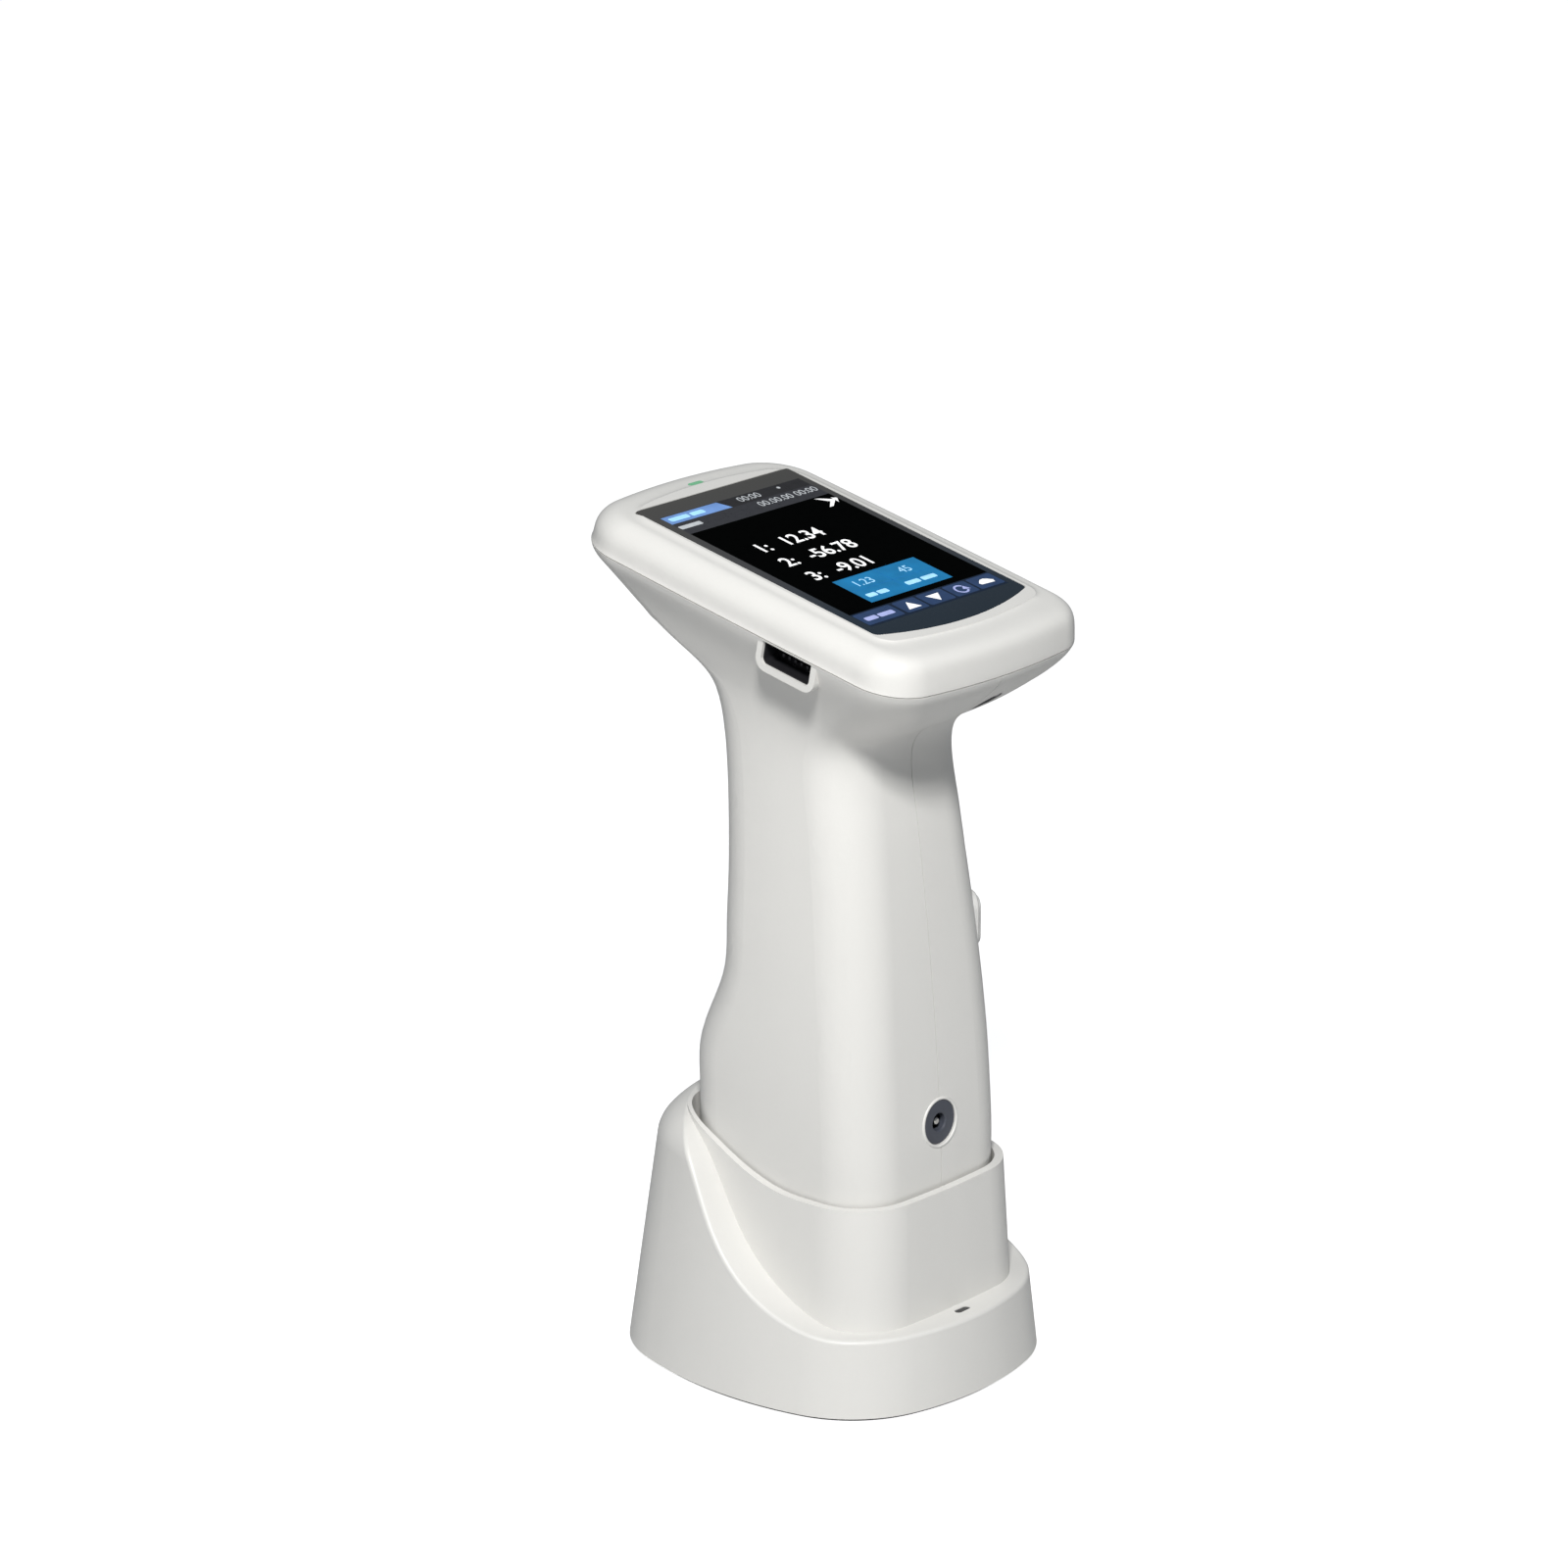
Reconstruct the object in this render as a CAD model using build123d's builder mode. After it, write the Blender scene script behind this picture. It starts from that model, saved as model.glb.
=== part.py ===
from build123d import *
from math import atan2, cos, hypot, radians, sin, tan
import os

# Handheld colour meter standing in its charging dock.
# +Z is up, -Y faces the user, +X is the user's right. Millimetres.
# The origin is the centre of the dock's foot pad, on the table.

os.makedirs("parts", exist_ok=True)

# ---------------------------------------------------------------- driving dimensions
WALL = 2.2  # moulded wall of the instrument
PARTING_GAP = 0.2  # between the left and right halves
MOVING_GAP = 0.35  # around a pressed or lifted piece

SCREEN_TILT = 11  # degrees, front edge lower
SCREEN_CENTRE = (0, 1.7, 212)
SEAM_DEPTH = 10  # of the cover's lower edge, under the screen's face
SEAM_GAP = 0.3

HEAD_HALF_WIDTH = 37.5
HEAD_FRONT = -59.5  # along the tilted face, from the screen's centre
HEAD_BACK = 56.0

GLASS_WIDTH = 55.9
GLASS_LENGTH = 81.5
GLASS_BOW = 4.9  # of its lower edge
GLASS_THICK = 1.1
LCD_THICK = 2.4

NOSE_Z = 14  # underside of the docked instrument
HOUSING_Z = 17  # lower edge of the two halves
NECK_Z = 160  # where the grip starts to flare into the head

DOCK_HALF_WIDTH = 46.4
DOCK_HALF_LENGTH = 50.6
DOCK_SKIRT_Z = 0.9  # lower edge of the skirt
DOCK_WALL = 2.4
DOCK_TOP_Z = 66
CUP_FLOOR_Z = 13.6
CUP_FLOOR_THICK = 3.0

JACK_Z = 69.7
JACK_RADIUS = 5.9

tilt = radians(SCREEN_TILT)
screen = Plane(origin=SCREEN_CENTRE, x_dir=(1, 0, 0), z_dir=(0, -sin(tilt), cos(tilt)))


def finish(piece, name):
    piece.part.label = name
    export_step(piece.part, f"parts/{name}.step")


# ---------------------------------------------------------------- outlines
def bowed_block(half_width, front, back, bows, radii):
    """The outline of a block with bowed sides and round corners."""
    side_bow, end_bow = bows
    front_radius, back_radius = radii
    corner_x = half_width - side_bow
    front_y = front + end_bow
    back_y = back - end_bow
    middle_y = (front_y + back_y) / 2
    with BuildSketch() as block:
        with BuildLine():
            ThreePointArc((-corner_x, front_y), (0, front), (corner_x, front_y))
            ThreePointArc((corner_x, front_y), (half_width, middle_y), (corner_x, back_y))
            ThreePointArc((corner_x, back_y), (0, back), (-corner_x, back_y))
            ThreePointArc((-corner_x, back_y), (-half_width, middle_y), (-corner_x, front_y))
        make_face()
        fillet(block.vertices().group_by(Axis.Y)[0], front_radius)
        fillet(block.vertices().group_by(Axis.Y)[-1], back_radius)
    return block.sketch


def level(z, half_width, front, back, bows=(1.6, 1.6), radii=(14.5, 14.5)):
    """A level cross-section at height z."""
    return ((front, z), (back, z), half_width, bows, radii)


def body_loft(stations, inset):
    """A smooth solid through cross-sections, each through a front and a back (y, z) point."""
    with BuildPart() as body:
        for front, back, half_width, bows, radii in stations:
            slope = atan2(back[1] - front[1], back[0] - front[0])
            half_length = hypot(back[0] - front[0], back[1] - front[1]) / 2 - inset
            centre = (0, (front[0] + back[0]) / 2, (front[1] + back[1]) / 2)
            section = Plane(centre, x_dir=(1, 0, 0), z_dir=(0, -sin(slope), cos(slope)))
            with BuildSketch(section):
                round_by = [radius - inset for radius in radii]
                add(bowed_block(half_width - inset, -half_length, half_length, bows, round_by))
        loft()
    return body.part


def head_point(along, depth):
    """(y, z) of a point in the plane of symmetry, given in the tilted screen's own terms."""
    y = SCREEN_CENTRE[1] + along * cos(tilt) + depth * sin(tilt)
    z = SCREEN_CENTRE[2] + along * sin(tilt) - depth * cos(tilt)
    return (y, z)


HEAD_BOWS = (0.4, 3.6)
HEAD_RADII = (13, 16.5)

# ---------------------------------------------------------------- the grip and head underside
def smooth_step(value, start, end):
    share = min(max((value - start) / (end - start), 0), 1)
    return share * share * (3 - 2 * share)


def grip_station(z):
    """The grip narrows and leans back going up, and its back steps in above the optics."""
    above = max(z - 57, 0)
    below = max(57 - z, 0)
    half_width = 29.6 - 4.7 * smooth_step(z, 72, 167) - 0.03 * below
    front = -36.7 + 0.045 * above + 0.0006 * above**2 + 0.03 * below
    back = 28.1 - 7.8 * smooth_step(z, 82, 106) + 0.0009 * max(z - 112, 0) ** 2 - 0.018 * below
    return level(z, half_width, front, back)


GRIP_STEP = 11
grip_stations = [grip_station(z) for z in range(HOUSING_Z, NECK_Z + 1, GRIP_STEP)]
neck_stations = [
    ((-26.0, 167), (23.4, 170), 25.2, (1.6, 1.6), (14.5, 14.5)),
    ((-29.2, 171.6), (26.5, 181), 26.3, (1.5, 1.8), (14.5, 14.5)),
    ((-38.0, 176.6), (40.6, 192), 28.7, (1.0, 2.4), (14.5, 15)),
    ((-46.2, 182.0), (53.0, 203.3), 32.5, (0.7, 3.0), (14, 16)),
    ((-52.0, 186.8), (57.3, 209.2), 35.7, (0.5, 3.4), (13.5, 16.2)),
    (
        head_point(HEAD_FRONT, SEAM_DEPTH),
        head_point(HEAD_BACK, SEAM_DEPTH),
        HEAD_HALF_WIDTH,
        HEAD_BOWS,
        HEAD_RADII,
    ),
]
hull = body_loft(grip_stations + neck_stations, 0)
cavity = body_loft(grip_stations + neck_stations, WALL)


def screen_plane(depth):
    return screen.offset(-depth)


def across_x(x, y, z):
    """A plane facing +X at a point: its x runs along +Y and its y runs up."""
    return Plane(origin=(x, y, z), x_dir=(0, 1, 0), z_dir=(1, 0, 0))


with BuildPart() as shell:
    add(hull)
    add(cavity, mode=Mode.SUBTRACT)

# The io port sits in the left side, hard under the seam, inside a raised collar.
PORT_LENGTH = 16
PORT_HEIGHT = 6
PORT_CENTRE = -22  # along the tilted face
PORT_COLLAR = 1.7
PORT_FACE_X = -37.1
port_y, port_z = head_point(PORT_CENTRE, SEAM_DEPTH + PORT_HEIGHT / 2 + 0.4)
port_plane = Plane(
    origin=(0, port_y, port_z), x_dir=(0, cos(tilt), sin(tilt)), z_dir=(1, 0, 0)
)


def port_block(margin, start_x, end_x):
    """A block along X with the port's outline, grown by a margin, square at its top."""
    with BuildPart() as block:
        with BuildSketch(port_plane.offset(start_x)) as outline:
            with Locations((0, -margin / 2)):
                Rectangle(PORT_LENGTH + 2 * margin, PORT_HEIGHT + margin)
            fillet(outline.vertices().group_by(Axis.Y)[0], 1.6 + margin)
        extrude(amount=end_x - start_x)
    return block.part


# The trigger is a wide dark bar in the hollow of the neck, under the head's back overhang.
TRIGGER_WIDTH = 52
TRIGGER_HEIGHT = 11
trigger_plane = Plane(
    origin=(0, 41.5, 192.5), x_dir=(1, 0, 0), z_dir=(0, sin(radians(45)), -cos(radians(45)))
)
trigger_out = Vector(0, sin(radians(45)), -cos(radians(45)))


def trigger_prism(grow, start, end):
    """A rounded bar's outline, pushed along the trigger's own line of travel."""
    with BuildPart() as prism:
        with BuildSketch(trigger_plane.offset(start)):
            RectangleRounded(
                TRIGGER_WIDTH + 2 * grow, TRIGGER_HEIGHT + 2 * grow, TRIGGER_HEIGHT / 2.6
            )
        extrude(amount=end - start)
    return prism.part


trigger_opening = trigger_prism(MOVING_GAP, -16, 14)

# The oval button faces forward and right, at the grip's front corner.
BUTTON_LENGTH = 13
BUTTON_WIDTH = 6
BUTTON_BEZEL = 1.3
button_turn = radians(30)
button_plane = Plane(
    origin=(24.7, -24.3, 114.4),
    x_dir=(0, 0, 1),
    z_dir=(cos(button_turn), -sin(button_turn), 0),
)
button_axis = Axis((0, 0, 0), button_plane.z_dir)


def button_slot(grow, start, end):
    with BuildPart() as slot:
        with BuildSketch(button_plane.offset(start)):
            SlotOverall(BUTTON_LENGTH + 2 * grow, BUTTON_WIDTH + 2 * grow)
        extrude(amount=end - start)
    return slot.part


# Screws join the halves across the parting plane: (y, z) of each.
SCREW_WELL_RADIUS = 3.0
SCREW_BOSS_RADIUS = 4.2
SCREW_SEAT_X = 6
SCREW_HEAD_RADIUS = 2.6
SCREW_SHANK_RADIUS = 1.2
SCREW_PILOT_RADIUS = 1.25
screw_places = [(-24.5, 92), (-19.5, 146), (14.5, 112), (14.5, 150)]


def across_cylinders(radius, start_x, end_x):
    with BuildPart() as cylinders:
        with BuildSketch(Plane.YZ.offset(start_x)):
            with Locations(*screw_places):
                Circle(radius)
        extrude(amount=end_x - start_x)
    return cylinders.part


# The jack's round seat, in the front on the parting plane.
JACK_DEPTH = 12
jack_front_y = -36.3
jack_plane = Plane(origin=(0, jack_front_y, JACK_Z), x_dir=(1, 0, 0), z_dir=(0, -1, 0))


def jack_cylinder(radius, start, end):
    """A cylinder on the jack's axis; distances are inward from its face."""
    with BuildPart() as cylinder:
        with BuildSketch(jack_plane.offset(-end)):
            Circle(radius)
        extrude(amount=end - start)
    return cylinder.part


# Three screws hold the cover: (x, distance along the face, depth of the seat).
COVER_BOSS_RADIUS = 4.6
COVER_WELL_RADIUS = 3.6
cover_screw_places = [(7, -50.5, 17.5), (-24, 46.5, 13), (24, 46.5, 13)]


def cover_cylinders(radius, start, end, from_seat=True):
    """Cylinders square to the face; with from_seat the depths count from each seat."""
    with BuildPart() as cylinders:
        for x, along, seat in cover_screw_places:
            base = seat if from_seat else 0
            with BuildSketch(screen.offset(-base - end)):
                with Locations((x, along)):
                    Circle(radius)
            extrude(amount=end - start)
    return cylinders.part


with BuildPart() as cover_bosses:
    add(cover_cylinders(COVER_BOSS_RADIUS, SEAM_DEPTH, 30, from_seat=False))
    add(hull, mode=Mode.INTERSECT)

cover_wells = cover_cylinders(COVER_WELL_RADIUS, 0, 20)
cover_pilots = cover_cylinders(1.4, -12, 1)

port_collar = port_block(PORT_COLLAR, PORT_FACE_X, -27)
port_room = port_block(0, PORT_FACE_X - 3, -26)
jack_seat = jack_cylinder(JACK_RADIUS + 1.6, -1.5, 7)
jack_room = jack_cylinder(JACK_RADIUS, -4, 20)
bezel_room = button_slot(BUTTON_BEZEL, -8, 6)

with BuildPart() as half_space_head:
    with BuildSketch(screen_plane(SEAM_DEPTH)):
        Rectangle(200, 200)
    extrude(amount=-300)

with BuildPart() as left_housing:
    add(across_cylinders(SCREW_BOSS_RADIUS, -40, -PARTING_GAP / 2))
    add(jack_seat)
    add(hull, mode=Mode.INTERSECT)
    add(port_collar)
    add(half_space_head.part, mode=Mode.INTERSECT)
    add(shell.part)
    add(cover_bosses.part)
    add(cover_wells, mode=Mode.SUBTRACT)
    add(cover_pilots, mode=Mode.SUBTRACT)
    add(across_cylinders(SCREW_PILOT_RADIUS, -12, 0), mode=Mode.SUBTRACT)
    add(port_room, mode=Mode.SUBTRACT)
    add(jack_room, mode=Mode.SUBTRACT)
    add(trigger_opening, mode=Mode.SUBTRACT)
    split(bisect_by=Plane.YZ.offset(-PARTING_GAP / 2), keep=Keep.BOTTOM)
finish(left_housing, "left_housing")

with BuildPart() as right_housing:
    add(across_cylinders(SCREW_BOSS_RADIUS, PARTING_GAP / 2, 40))
    add(jack_seat)
    add(hull, mode=Mode.INTERSECT)
    add(shell.part)
    add(cover_bosses.part)
    add(cover_wells, mode=Mode.SUBTRACT)
    add(cover_pilots, mode=Mode.SUBTRACT)
    add(across_cylinders(SCREW_WELL_RADIUS, SCREW_SEAT_X, 40), mode=Mode.SUBTRACT)
    add(across_cylinders(SCREW_PILOT_RADIUS, 0, 8), mode=Mode.SUBTRACT)
    add(jack_room, mode=Mode.SUBTRACT)
    add(bezel_room, mode=Mode.SUBTRACT)
    add(trigger_opening, mode=Mode.SUBTRACT)
    split(bisect_by=Plane.YZ.offset(PARTING_GAP / 2), keep=Keep.TOP)
finish(right_housing, "right_housing")

with BuildPart() as housing_screws:
    add(across_cylinders(SCREW_SHANK_RADIUS, -10, SCREW_SEAT_X))
    add(across_cylinders(SCREW_HEAD_RADIUS, SCREW_SEAT_X, SCREW_SEAT_X + 2))
    with BuildSketch(Plane.YZ.offset(SCREW_SEAT_X + 2)):
        with Locations(*screw_places):
            Rectangle(3.2, 0.7)
            Rectangle(0.7, 3.2)
    extrude(amount=-1, mode=Mode.SUBTRACT)
finish(housing_screws, "housing_screws")

# ---------------------------------------------------------------- top cover and screen
# (depth, inset of the sides, of the front, of the back): a round shoulder, softest at the back.
cover_stations = [
    (SEAM_DEPTH - SEAM_GAP, 0, 0, 0),
    (6.5, 0.4, 0.5, 0.5),
    (3.8, 1.2, 1.1, 1.5),
    (1.9, 2.8, 2.2, 3.4),
    (0.7, 5.0, 5.6, 6.7),
    (0, 8.4, 11.0, 11.2),
]


def head_outline(side_inset, front_inset, back_inset):
    front = HEAD_FRONT + front_inset
    back = HEAD_BACK - back_inset
    radii = [radius - min(side_inset, 8) for radius in HEAD_RADII]
    return bowed_block(HEAD_HALF_WIDTH - side_inset, front, back, HEAD_BOWS, radii)


def glass_outline(grow):
    """Square far corners, and a lower edge that bows towards the user."""
    side = GLASS_WIDTH / 2 + grow
    far = GLASS_LENGTH / 2 + grow
    near = -GLASS_LENGTH / 2
    with BuildSketch() as outline:
        with BuildLine():
            Polyline((-side, near), (-side, far), (side, far), (side, near))
            ThreePointArc((side, near), (0, near - GLASS_BOW - grow), (-side, near))
        make_face()
        fillet(outline.vertices().group_by(Axis.Y)[-1], 0.8)
        fillet(outline.vertices().group_by(Axis.Y)[0], 1.6)
    return outline.sketch


LED_PLACE = (0, 46.3)  # in the tilted face
LED_SIZE = (5.2, 1.7)
GLASS_LEDGE = 0.8

with BuildPart() as cover_block:
    for depth, *insets in cover_stations:
        with BuildSketch(screen_plane(depth)):
            add(head_outline(*insets))
    loft()

with BuildPart() as cover_hollow:
    for depth, inset in [(SEAM_DEPTH, WALL + 0.2), (5.5, WALL + 1.2), (2.6, WALL + 3.8)]:
        with BuildSketch(screen_plane(depth)):
            add(head_outline(inset, inset, inset))
    loft(ruled=True)

with BuildPart() as top_cover:
    add(cover_block.part)
    add(cover_hollow.part, mode=Mode.SUBTRACT)
    add(cover_cylinders(3.0, 2, SEAM_DEPTH - SEAM_GAP, from_seat=False))
    add(cover_cylinders(1.2, 4, SEAM_DEPTH, from_seat=False), mode=Mode.SUBTRACT)
    with BuildSketch(screen_plane(-2)):
        add(glass_outline(0.15))
    extrude(amount=-2 - GLASS_THICK, mode=Mode.SUBTRACT)
    with BuildSketch(screen_plane(-2)):
        add(glass_outline(-GLASS_LEDGE))
    extrude(amount=-8, mode=Mode.SUBTRACT)
    with BuildSketch(screen_plane(-2)):
        with Locations(LED_PLACE):
            SlotOverall(*LED_SIZE)
    extrude(amount=-8, mode=Mode.SUBTRACT)
finish(top_cover, "top_cover")

with BuildPart() as cover_glass:
    with BuildSketch(screen_plane(GLASS_THICK)):
        add(glass_outline(0))
    extrude(amount=GLASS_THICK)
    chamfer(cover_glass.faces().sort_by(Axis((0, 0, 0), screen.z_dir))[-1].edges(), 0.15)
finish(cover_glass, "cover_glass")

LCD_SIZE = (54.0, 79.0)
LCD_PLACE = (0, 0.3)
LCD_ACTIVE = (52.56, 70.08)

with BuildPart() as lcd_module:
    with BuildSketch(screen_plane(GLASS_THICK + LCD_THICK)):
        with Locations(LCD_PLACE):
            RectangleRounded(*LCD_SIZE, 0.8)
    extrude(amount=LCD_THICK)
    with BuildSketch(screen_plane(GLASS_THICK)):
        with Locations((0, 1.6)):
            Rectangle(*LCD_ACTIVE)
    extrude(amount=-0.2, mode=Mode.SUBTRACT)
finish(lcd_module, "lcd_module")

# A tray screwed to the board carries the display.
TRAY_TOP = GLASS_THICK + LCD_THICK
TRAY_THICK = 1.0
BOARD_TOP = 8.2
BOARD_THICK = 1.6
BOARD_SIZE = (60, 86)
BOARD_PLACE = (0, 0)
tray_posts = [(-22, -32), (22, -32), (-22, 32), (22, 32)]

with BuildPart() as lcd_bracket:
    with BuildSketch(screen_plane(TRAY_TOP + TRAY_THICK)):
        with Locations(LCD_PLACE):
            RectangleRounded(LCD_SIZE[0], LCD_SIZE[1] - 1, 0.8)
            RectangleRounded(30, 46, 3, mode=Mode.SUBTRACT)
    extrude(amount=TRAY_THICK)
    with BuildSketch(screen_plane(TRAY_TOP + TRAY_THICK)):
        with Locations(*tray_posts):
            Circle(2.4)
    extrude(amount=-(BOARD_TOP - TRAY_TOP - TRAY_THICK))
finish(lcd_bracket, "lcd_bracket")

with BuildPart() as main_board:
    with BuildSketch(screen_plane(BOARD_TOP + BOARD_THICK)):
        with Locations(BOARD_PLACE):
            RectangleRounded(*BOARD_SIZE, 2)
        with Locations((0, -8)):
            RectangleRounded(20, 12, 2, mode=Mode.SUBTRACT)
    extrude(amount=BOARD_THICK)
    with BuildSketch(screen_plane(BOARD_TOP)):
        with Locations((-12, 10), (10, 18)):
            Rectangle(12, 12)
        with Locations((14, -20)):
            Rectangle(9, 14)
        with GridLocations(5, 5, 8, 1):
            Rectangle(1.6, 2.6)
    extrude(amount=1.4)
finish(main_board, "main_board")

with BuildPart() as board_shield:
    with BuildSketch(screen_plane(BOARD_TOP + BOARD_THICK)):
        with Locations((6, 22)):
            RectangleRounded(30, 26, 1)
    extrude(amount=-2.4)
finish(board_shield, "board_shield")

with BuildPart() as buzzer:
    with BuildSketch(screen_plane(BOARD_TOP + BOARD_THICK)):
        with Locations((18, -26)):
            Circle(6)
    extrude(amount=-3.2)
    with BuildSketch(screen_plane(BOARD_TOP + BOARD_THICK + 3.2)):
        with Locations((18, -26)):
            Circle(1)
    extrude(amount=1, mode=Mode.SUBTRACT)
finish(buzzer, "buzzer")

# The display's flat cable leaves the tray's window and folds down to the board.
with BuildPart() as display_flex:
    with BuildSketch(screen_plane(TRAY_TOP + 0.35)):
        with Locations((0, 2)):
            Rectangle(18, 34)
    extrude(amount=0.3)
    with BuildSketch(screen_plane(BOARD_TOP)):
        with Locations((0, -14.85)):
            Rectangle(18, 0.3)
    extrude(amount=BOARD_TOP - TRAY_TOP - 0.05)
finish(display_flex, "display_flex")

with BuildPart() as status_light_pipe:
    with BuildSketch(screen_plane(5.4)):
        with Locations(LED_PLACE):
            SlotOverall(LED_SIZE[0] - 0.1, LED_SIZE[1] - 0.1)
    extrude(amount=4.9)
    with BuildSketch(screen_plane(5.4)):
        with Locations(LED_PLACE):
            Rectangle(7, 3)
    extrude(amount=-1.2)
finish(status_light_pipe, "status_light_pipe")

# ---------------------------------------------------------------- io connector
IO_FACE_X = -36.2
IO_BASE_X = -31.0
IO_LINING = 0.3
io_centre = Plane(origin=port_plane.origin, x_dir=port_plane.x_dir, z_dir=(1, 0, 0))

# A thin black lining, open outward, in front of a solid base that holds the pins.
with BuildPart() as io_connector:
    with BuildSketch(io_centre.offset(IO_FACE_X)) as outline:
        Rectangle(PORT_LENGTH, PORT_HEIGHT)
        fillet(outline.vertices().group_by(Axis.Y)[0], 1.6)
    extrude(amount=10)
    with BuildSketch(io_centre.offset(IO_FACE_X)) as outline:
        Rectangle(PORT_LENGTH - 2 * IO_LINING, PORT_HEIGHT - 2 * IO_LINING)
        fillet(outline.vertices().group_by(Axis.Y)[0], 1.3)
    extrude(amount=IO_BASE_X - IO_FACE_X, mode=Mode.SUBTRACT)
finish(io_connector, "io_connector")

with BuildPart() as io_pins:
    with BuildSketch(io_centre.offset(IO_BASE_X - 1.2)):
        with GridLocations(2.0, 1.9, 6, 2):
            Rectangle(0.7, 0.7)
    extrude(amount=1.2)
finish(io_pins, "io_pins")

# ---------------------------------------------------------------- dc jack
with BuildPart() as dc_jack_bezel:
    add(jack_cylinder(JACK_RADIUS, 0.5, 2.4))
    add(jack_cylinder(2.3, 0, 3), mode=Mode.SUBTRACT)
    chamfer(dc_jack_bezel.edges().filter_by(GeomType.CIRCLE).sort_by(Axis.Y)[0:2], 0.35)
finish(dc_jack_bezel, "dc_jack_bezel")

with BuildPart() as dc_jack_body:
    add(jack_cylinder(5.4, 2.4, JACK_DEPTH))
    add(jack_cylinder(2.75, 2.4, JACK_DEPTH - 2), mode=Mode.SUBTRACT)
finish(dc_jack_body, "dc_jack_body")

with BuildPart() as dc_jack_pin:
    add(jack_cylinder(1.05, 1.2, JACK_DEPTH - 2))
    fillet(dc_jack_pin.edges().filter_by(GeomType.CIRCLE).sort_by(Axis.Y)[0], 0.6)
finish(dc_jack_pin, "dc_jack_pin")

# ---------------------------------------------------------------- cover screws
with BuildPart() as cover_screws:
    add(cover_cylinders(3.0, 0.05, 2))
    add(cover_cylinders(1.15, -8, 0.1))
    for x, along, seat in cover_screw_places:
        with BuildSketch(screen.offset(-seat - 2)):
            with Locations((x, along)):
                Rectangle(3.4, 0.8)
                Rectangle(0.8, 3.4)
        extrude(amount=1, mode=Mode.SUBTRACT)
finish(cover_screws, "cover_screws")

# Rubber plugs close the screw wells.
with BuildPart() as screw_plugs:
    add(cover_cylinders(COVER_WELL_RADIUS - 0.05, 2.2, 20))
    add(hull.moved(Location(screen.z_dir * 0.25)), mode=Mode.INTERSECT)
finish(screw_plugs, "screw_plugs")

# ---------------------------------------------------------------- power button
with BuildPart() as power_button_bezel:
    add(button_slot(BUTTON_BEZEL, -2.6, 0.9))
    add(button_slot(MOVING_GAP, -3, 2), mode=Mode.SUBTRACT)
    chamfer(power_button_bezel.faces().sort_by(button_axis)[-1].outer_wire().edges(), 0.4)
finish(power_button_bezel, "power_button_bezel")

with BuildPart() as power_button:
    add(button_slot(0, -2.2, 1.9))
    fillet(power_button.faces().sort_by(button_axis)[-1].edges(), 0.8)
    with BuildSketch(button_plane.offset(-2.2)):
        Circle(1.4)
    extrude(amount=-1.6)
finish(power_button, "power_button")

with BuildPart() as power_switch:
    with BuildSketch(button_plane.offset(-8.4)):
        Rectangle(16, 9)
    extrude(amount=1.2)
    with BuildSketch(button_plane.offset(-7.2)):
        Rectangle(6, 6)
    extrude(amount=2.2)
finish(power_switch, "power_switch")

# ---------------------------------------------------------------- measure trigger
def pushed(solid, distance):
    """The solid, moved outward along the trigger's line of travel."""
    return solid.moved(Location(trigger_out * distance))


with BuildPart() as trigger_cap:
    add(trigger_prism(0, -15, 12))
    add(pushed(hull, 0.7), mode=Mode.INTERSECT)
    add(pushed(cavity, 0.2), mode=Mode.SUBTRACT)

with BuildPart() as trigger_flange:
    add(trigger_prism(1.6, -15, 12))
    add(pushed(cavity, -0.3), mode=Mode.INTERSECT)
    add(pushed(cavity, -1.5), mode=Mode.SUBTRACT)

with BuildPart() as trigger_neck:
    add(trigger_prism(-0.4, -15, 12))
    add(pushed(cavity, 0.9), mode=Mode.INTERSECT)
    add(pushed(cavity, -0.9), mode=Mode.SUBTRACT)

with BuildPart() as measure_trigger:
    add(trigger_cap.part)
    add(trigger_neck.part)
    add(trigger_flange.part)
finish(measure_trigger, "measure_trigger")

with BuildPart() as trigger_switch:
    with BuildSketch(trigger_plane.offset(-13)):
        Rectangle(20, 8)
    extrude(amount=1.2)
    with BuildSketch(trigger_plane.offset(-11.8)):
        Rectangle(6, 6)
    extrude(amount=3)
    with BuildSketch(trigger_plane.offset(-8.8)):
        Circle(1.6)
    extrude(amount=0.8)
finish(trigger_switch, "trigger_switch")

# ---------------------------------------------------------------- battery
BATTERY_SIZE = (32, 19, 56)
BATTERY_CENTRE = (0, -3.5, 127)

with BuildPart() as battery_pack:
    with BuildSketch(Plane.XY.offset(BATTERY_CENTRE[2] - BATTERY_SIZE[2] / 2)):
        with Locations(BATTERY_CENTRE[0:2]):
            RectangleRounded(BATTERY_SIZE[0], BATTERY_SIZE[1], 4)
    extrude(amount=BATTERY_SIZE[2])
    fillet(battery_pack.faces().sort_by(Axis.Z)[-1].edges(), 1)
finish(battery_pack, "battery_pack")

with BuildPart() as battery_bracket:
    with BuildSketch(Plane.XY.offset(BATTERY_CENTRE[2] - BATTERY_SIZE[2] / 2 - 1.5)):
        with Locations((BATTERY_CENTRE[0], BATTERY_CENTRE[1])):
            Rectangle(BATTERY_SIZE[0] + 3, BATTERY_SIZE[1] + 3)
    extrude(amount=1.5)
    with BuildSketch(Plane.XY.offset(BATTERY_CENTRE[2] - BATTERY_SIZE[2] / 2)):
        with Locations((BATTERY_CENTRE[0], BATTERY_CENTRE[1] + BATTERY_SIZE[1] / 2 + 0.75)):
            Rectangle(BATTERY_SIZE[0] + 3, 1.5)
    extrude(amount=BATTERY_SIZE[2])
finish(battery_bracket, "battery_bracket")

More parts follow.
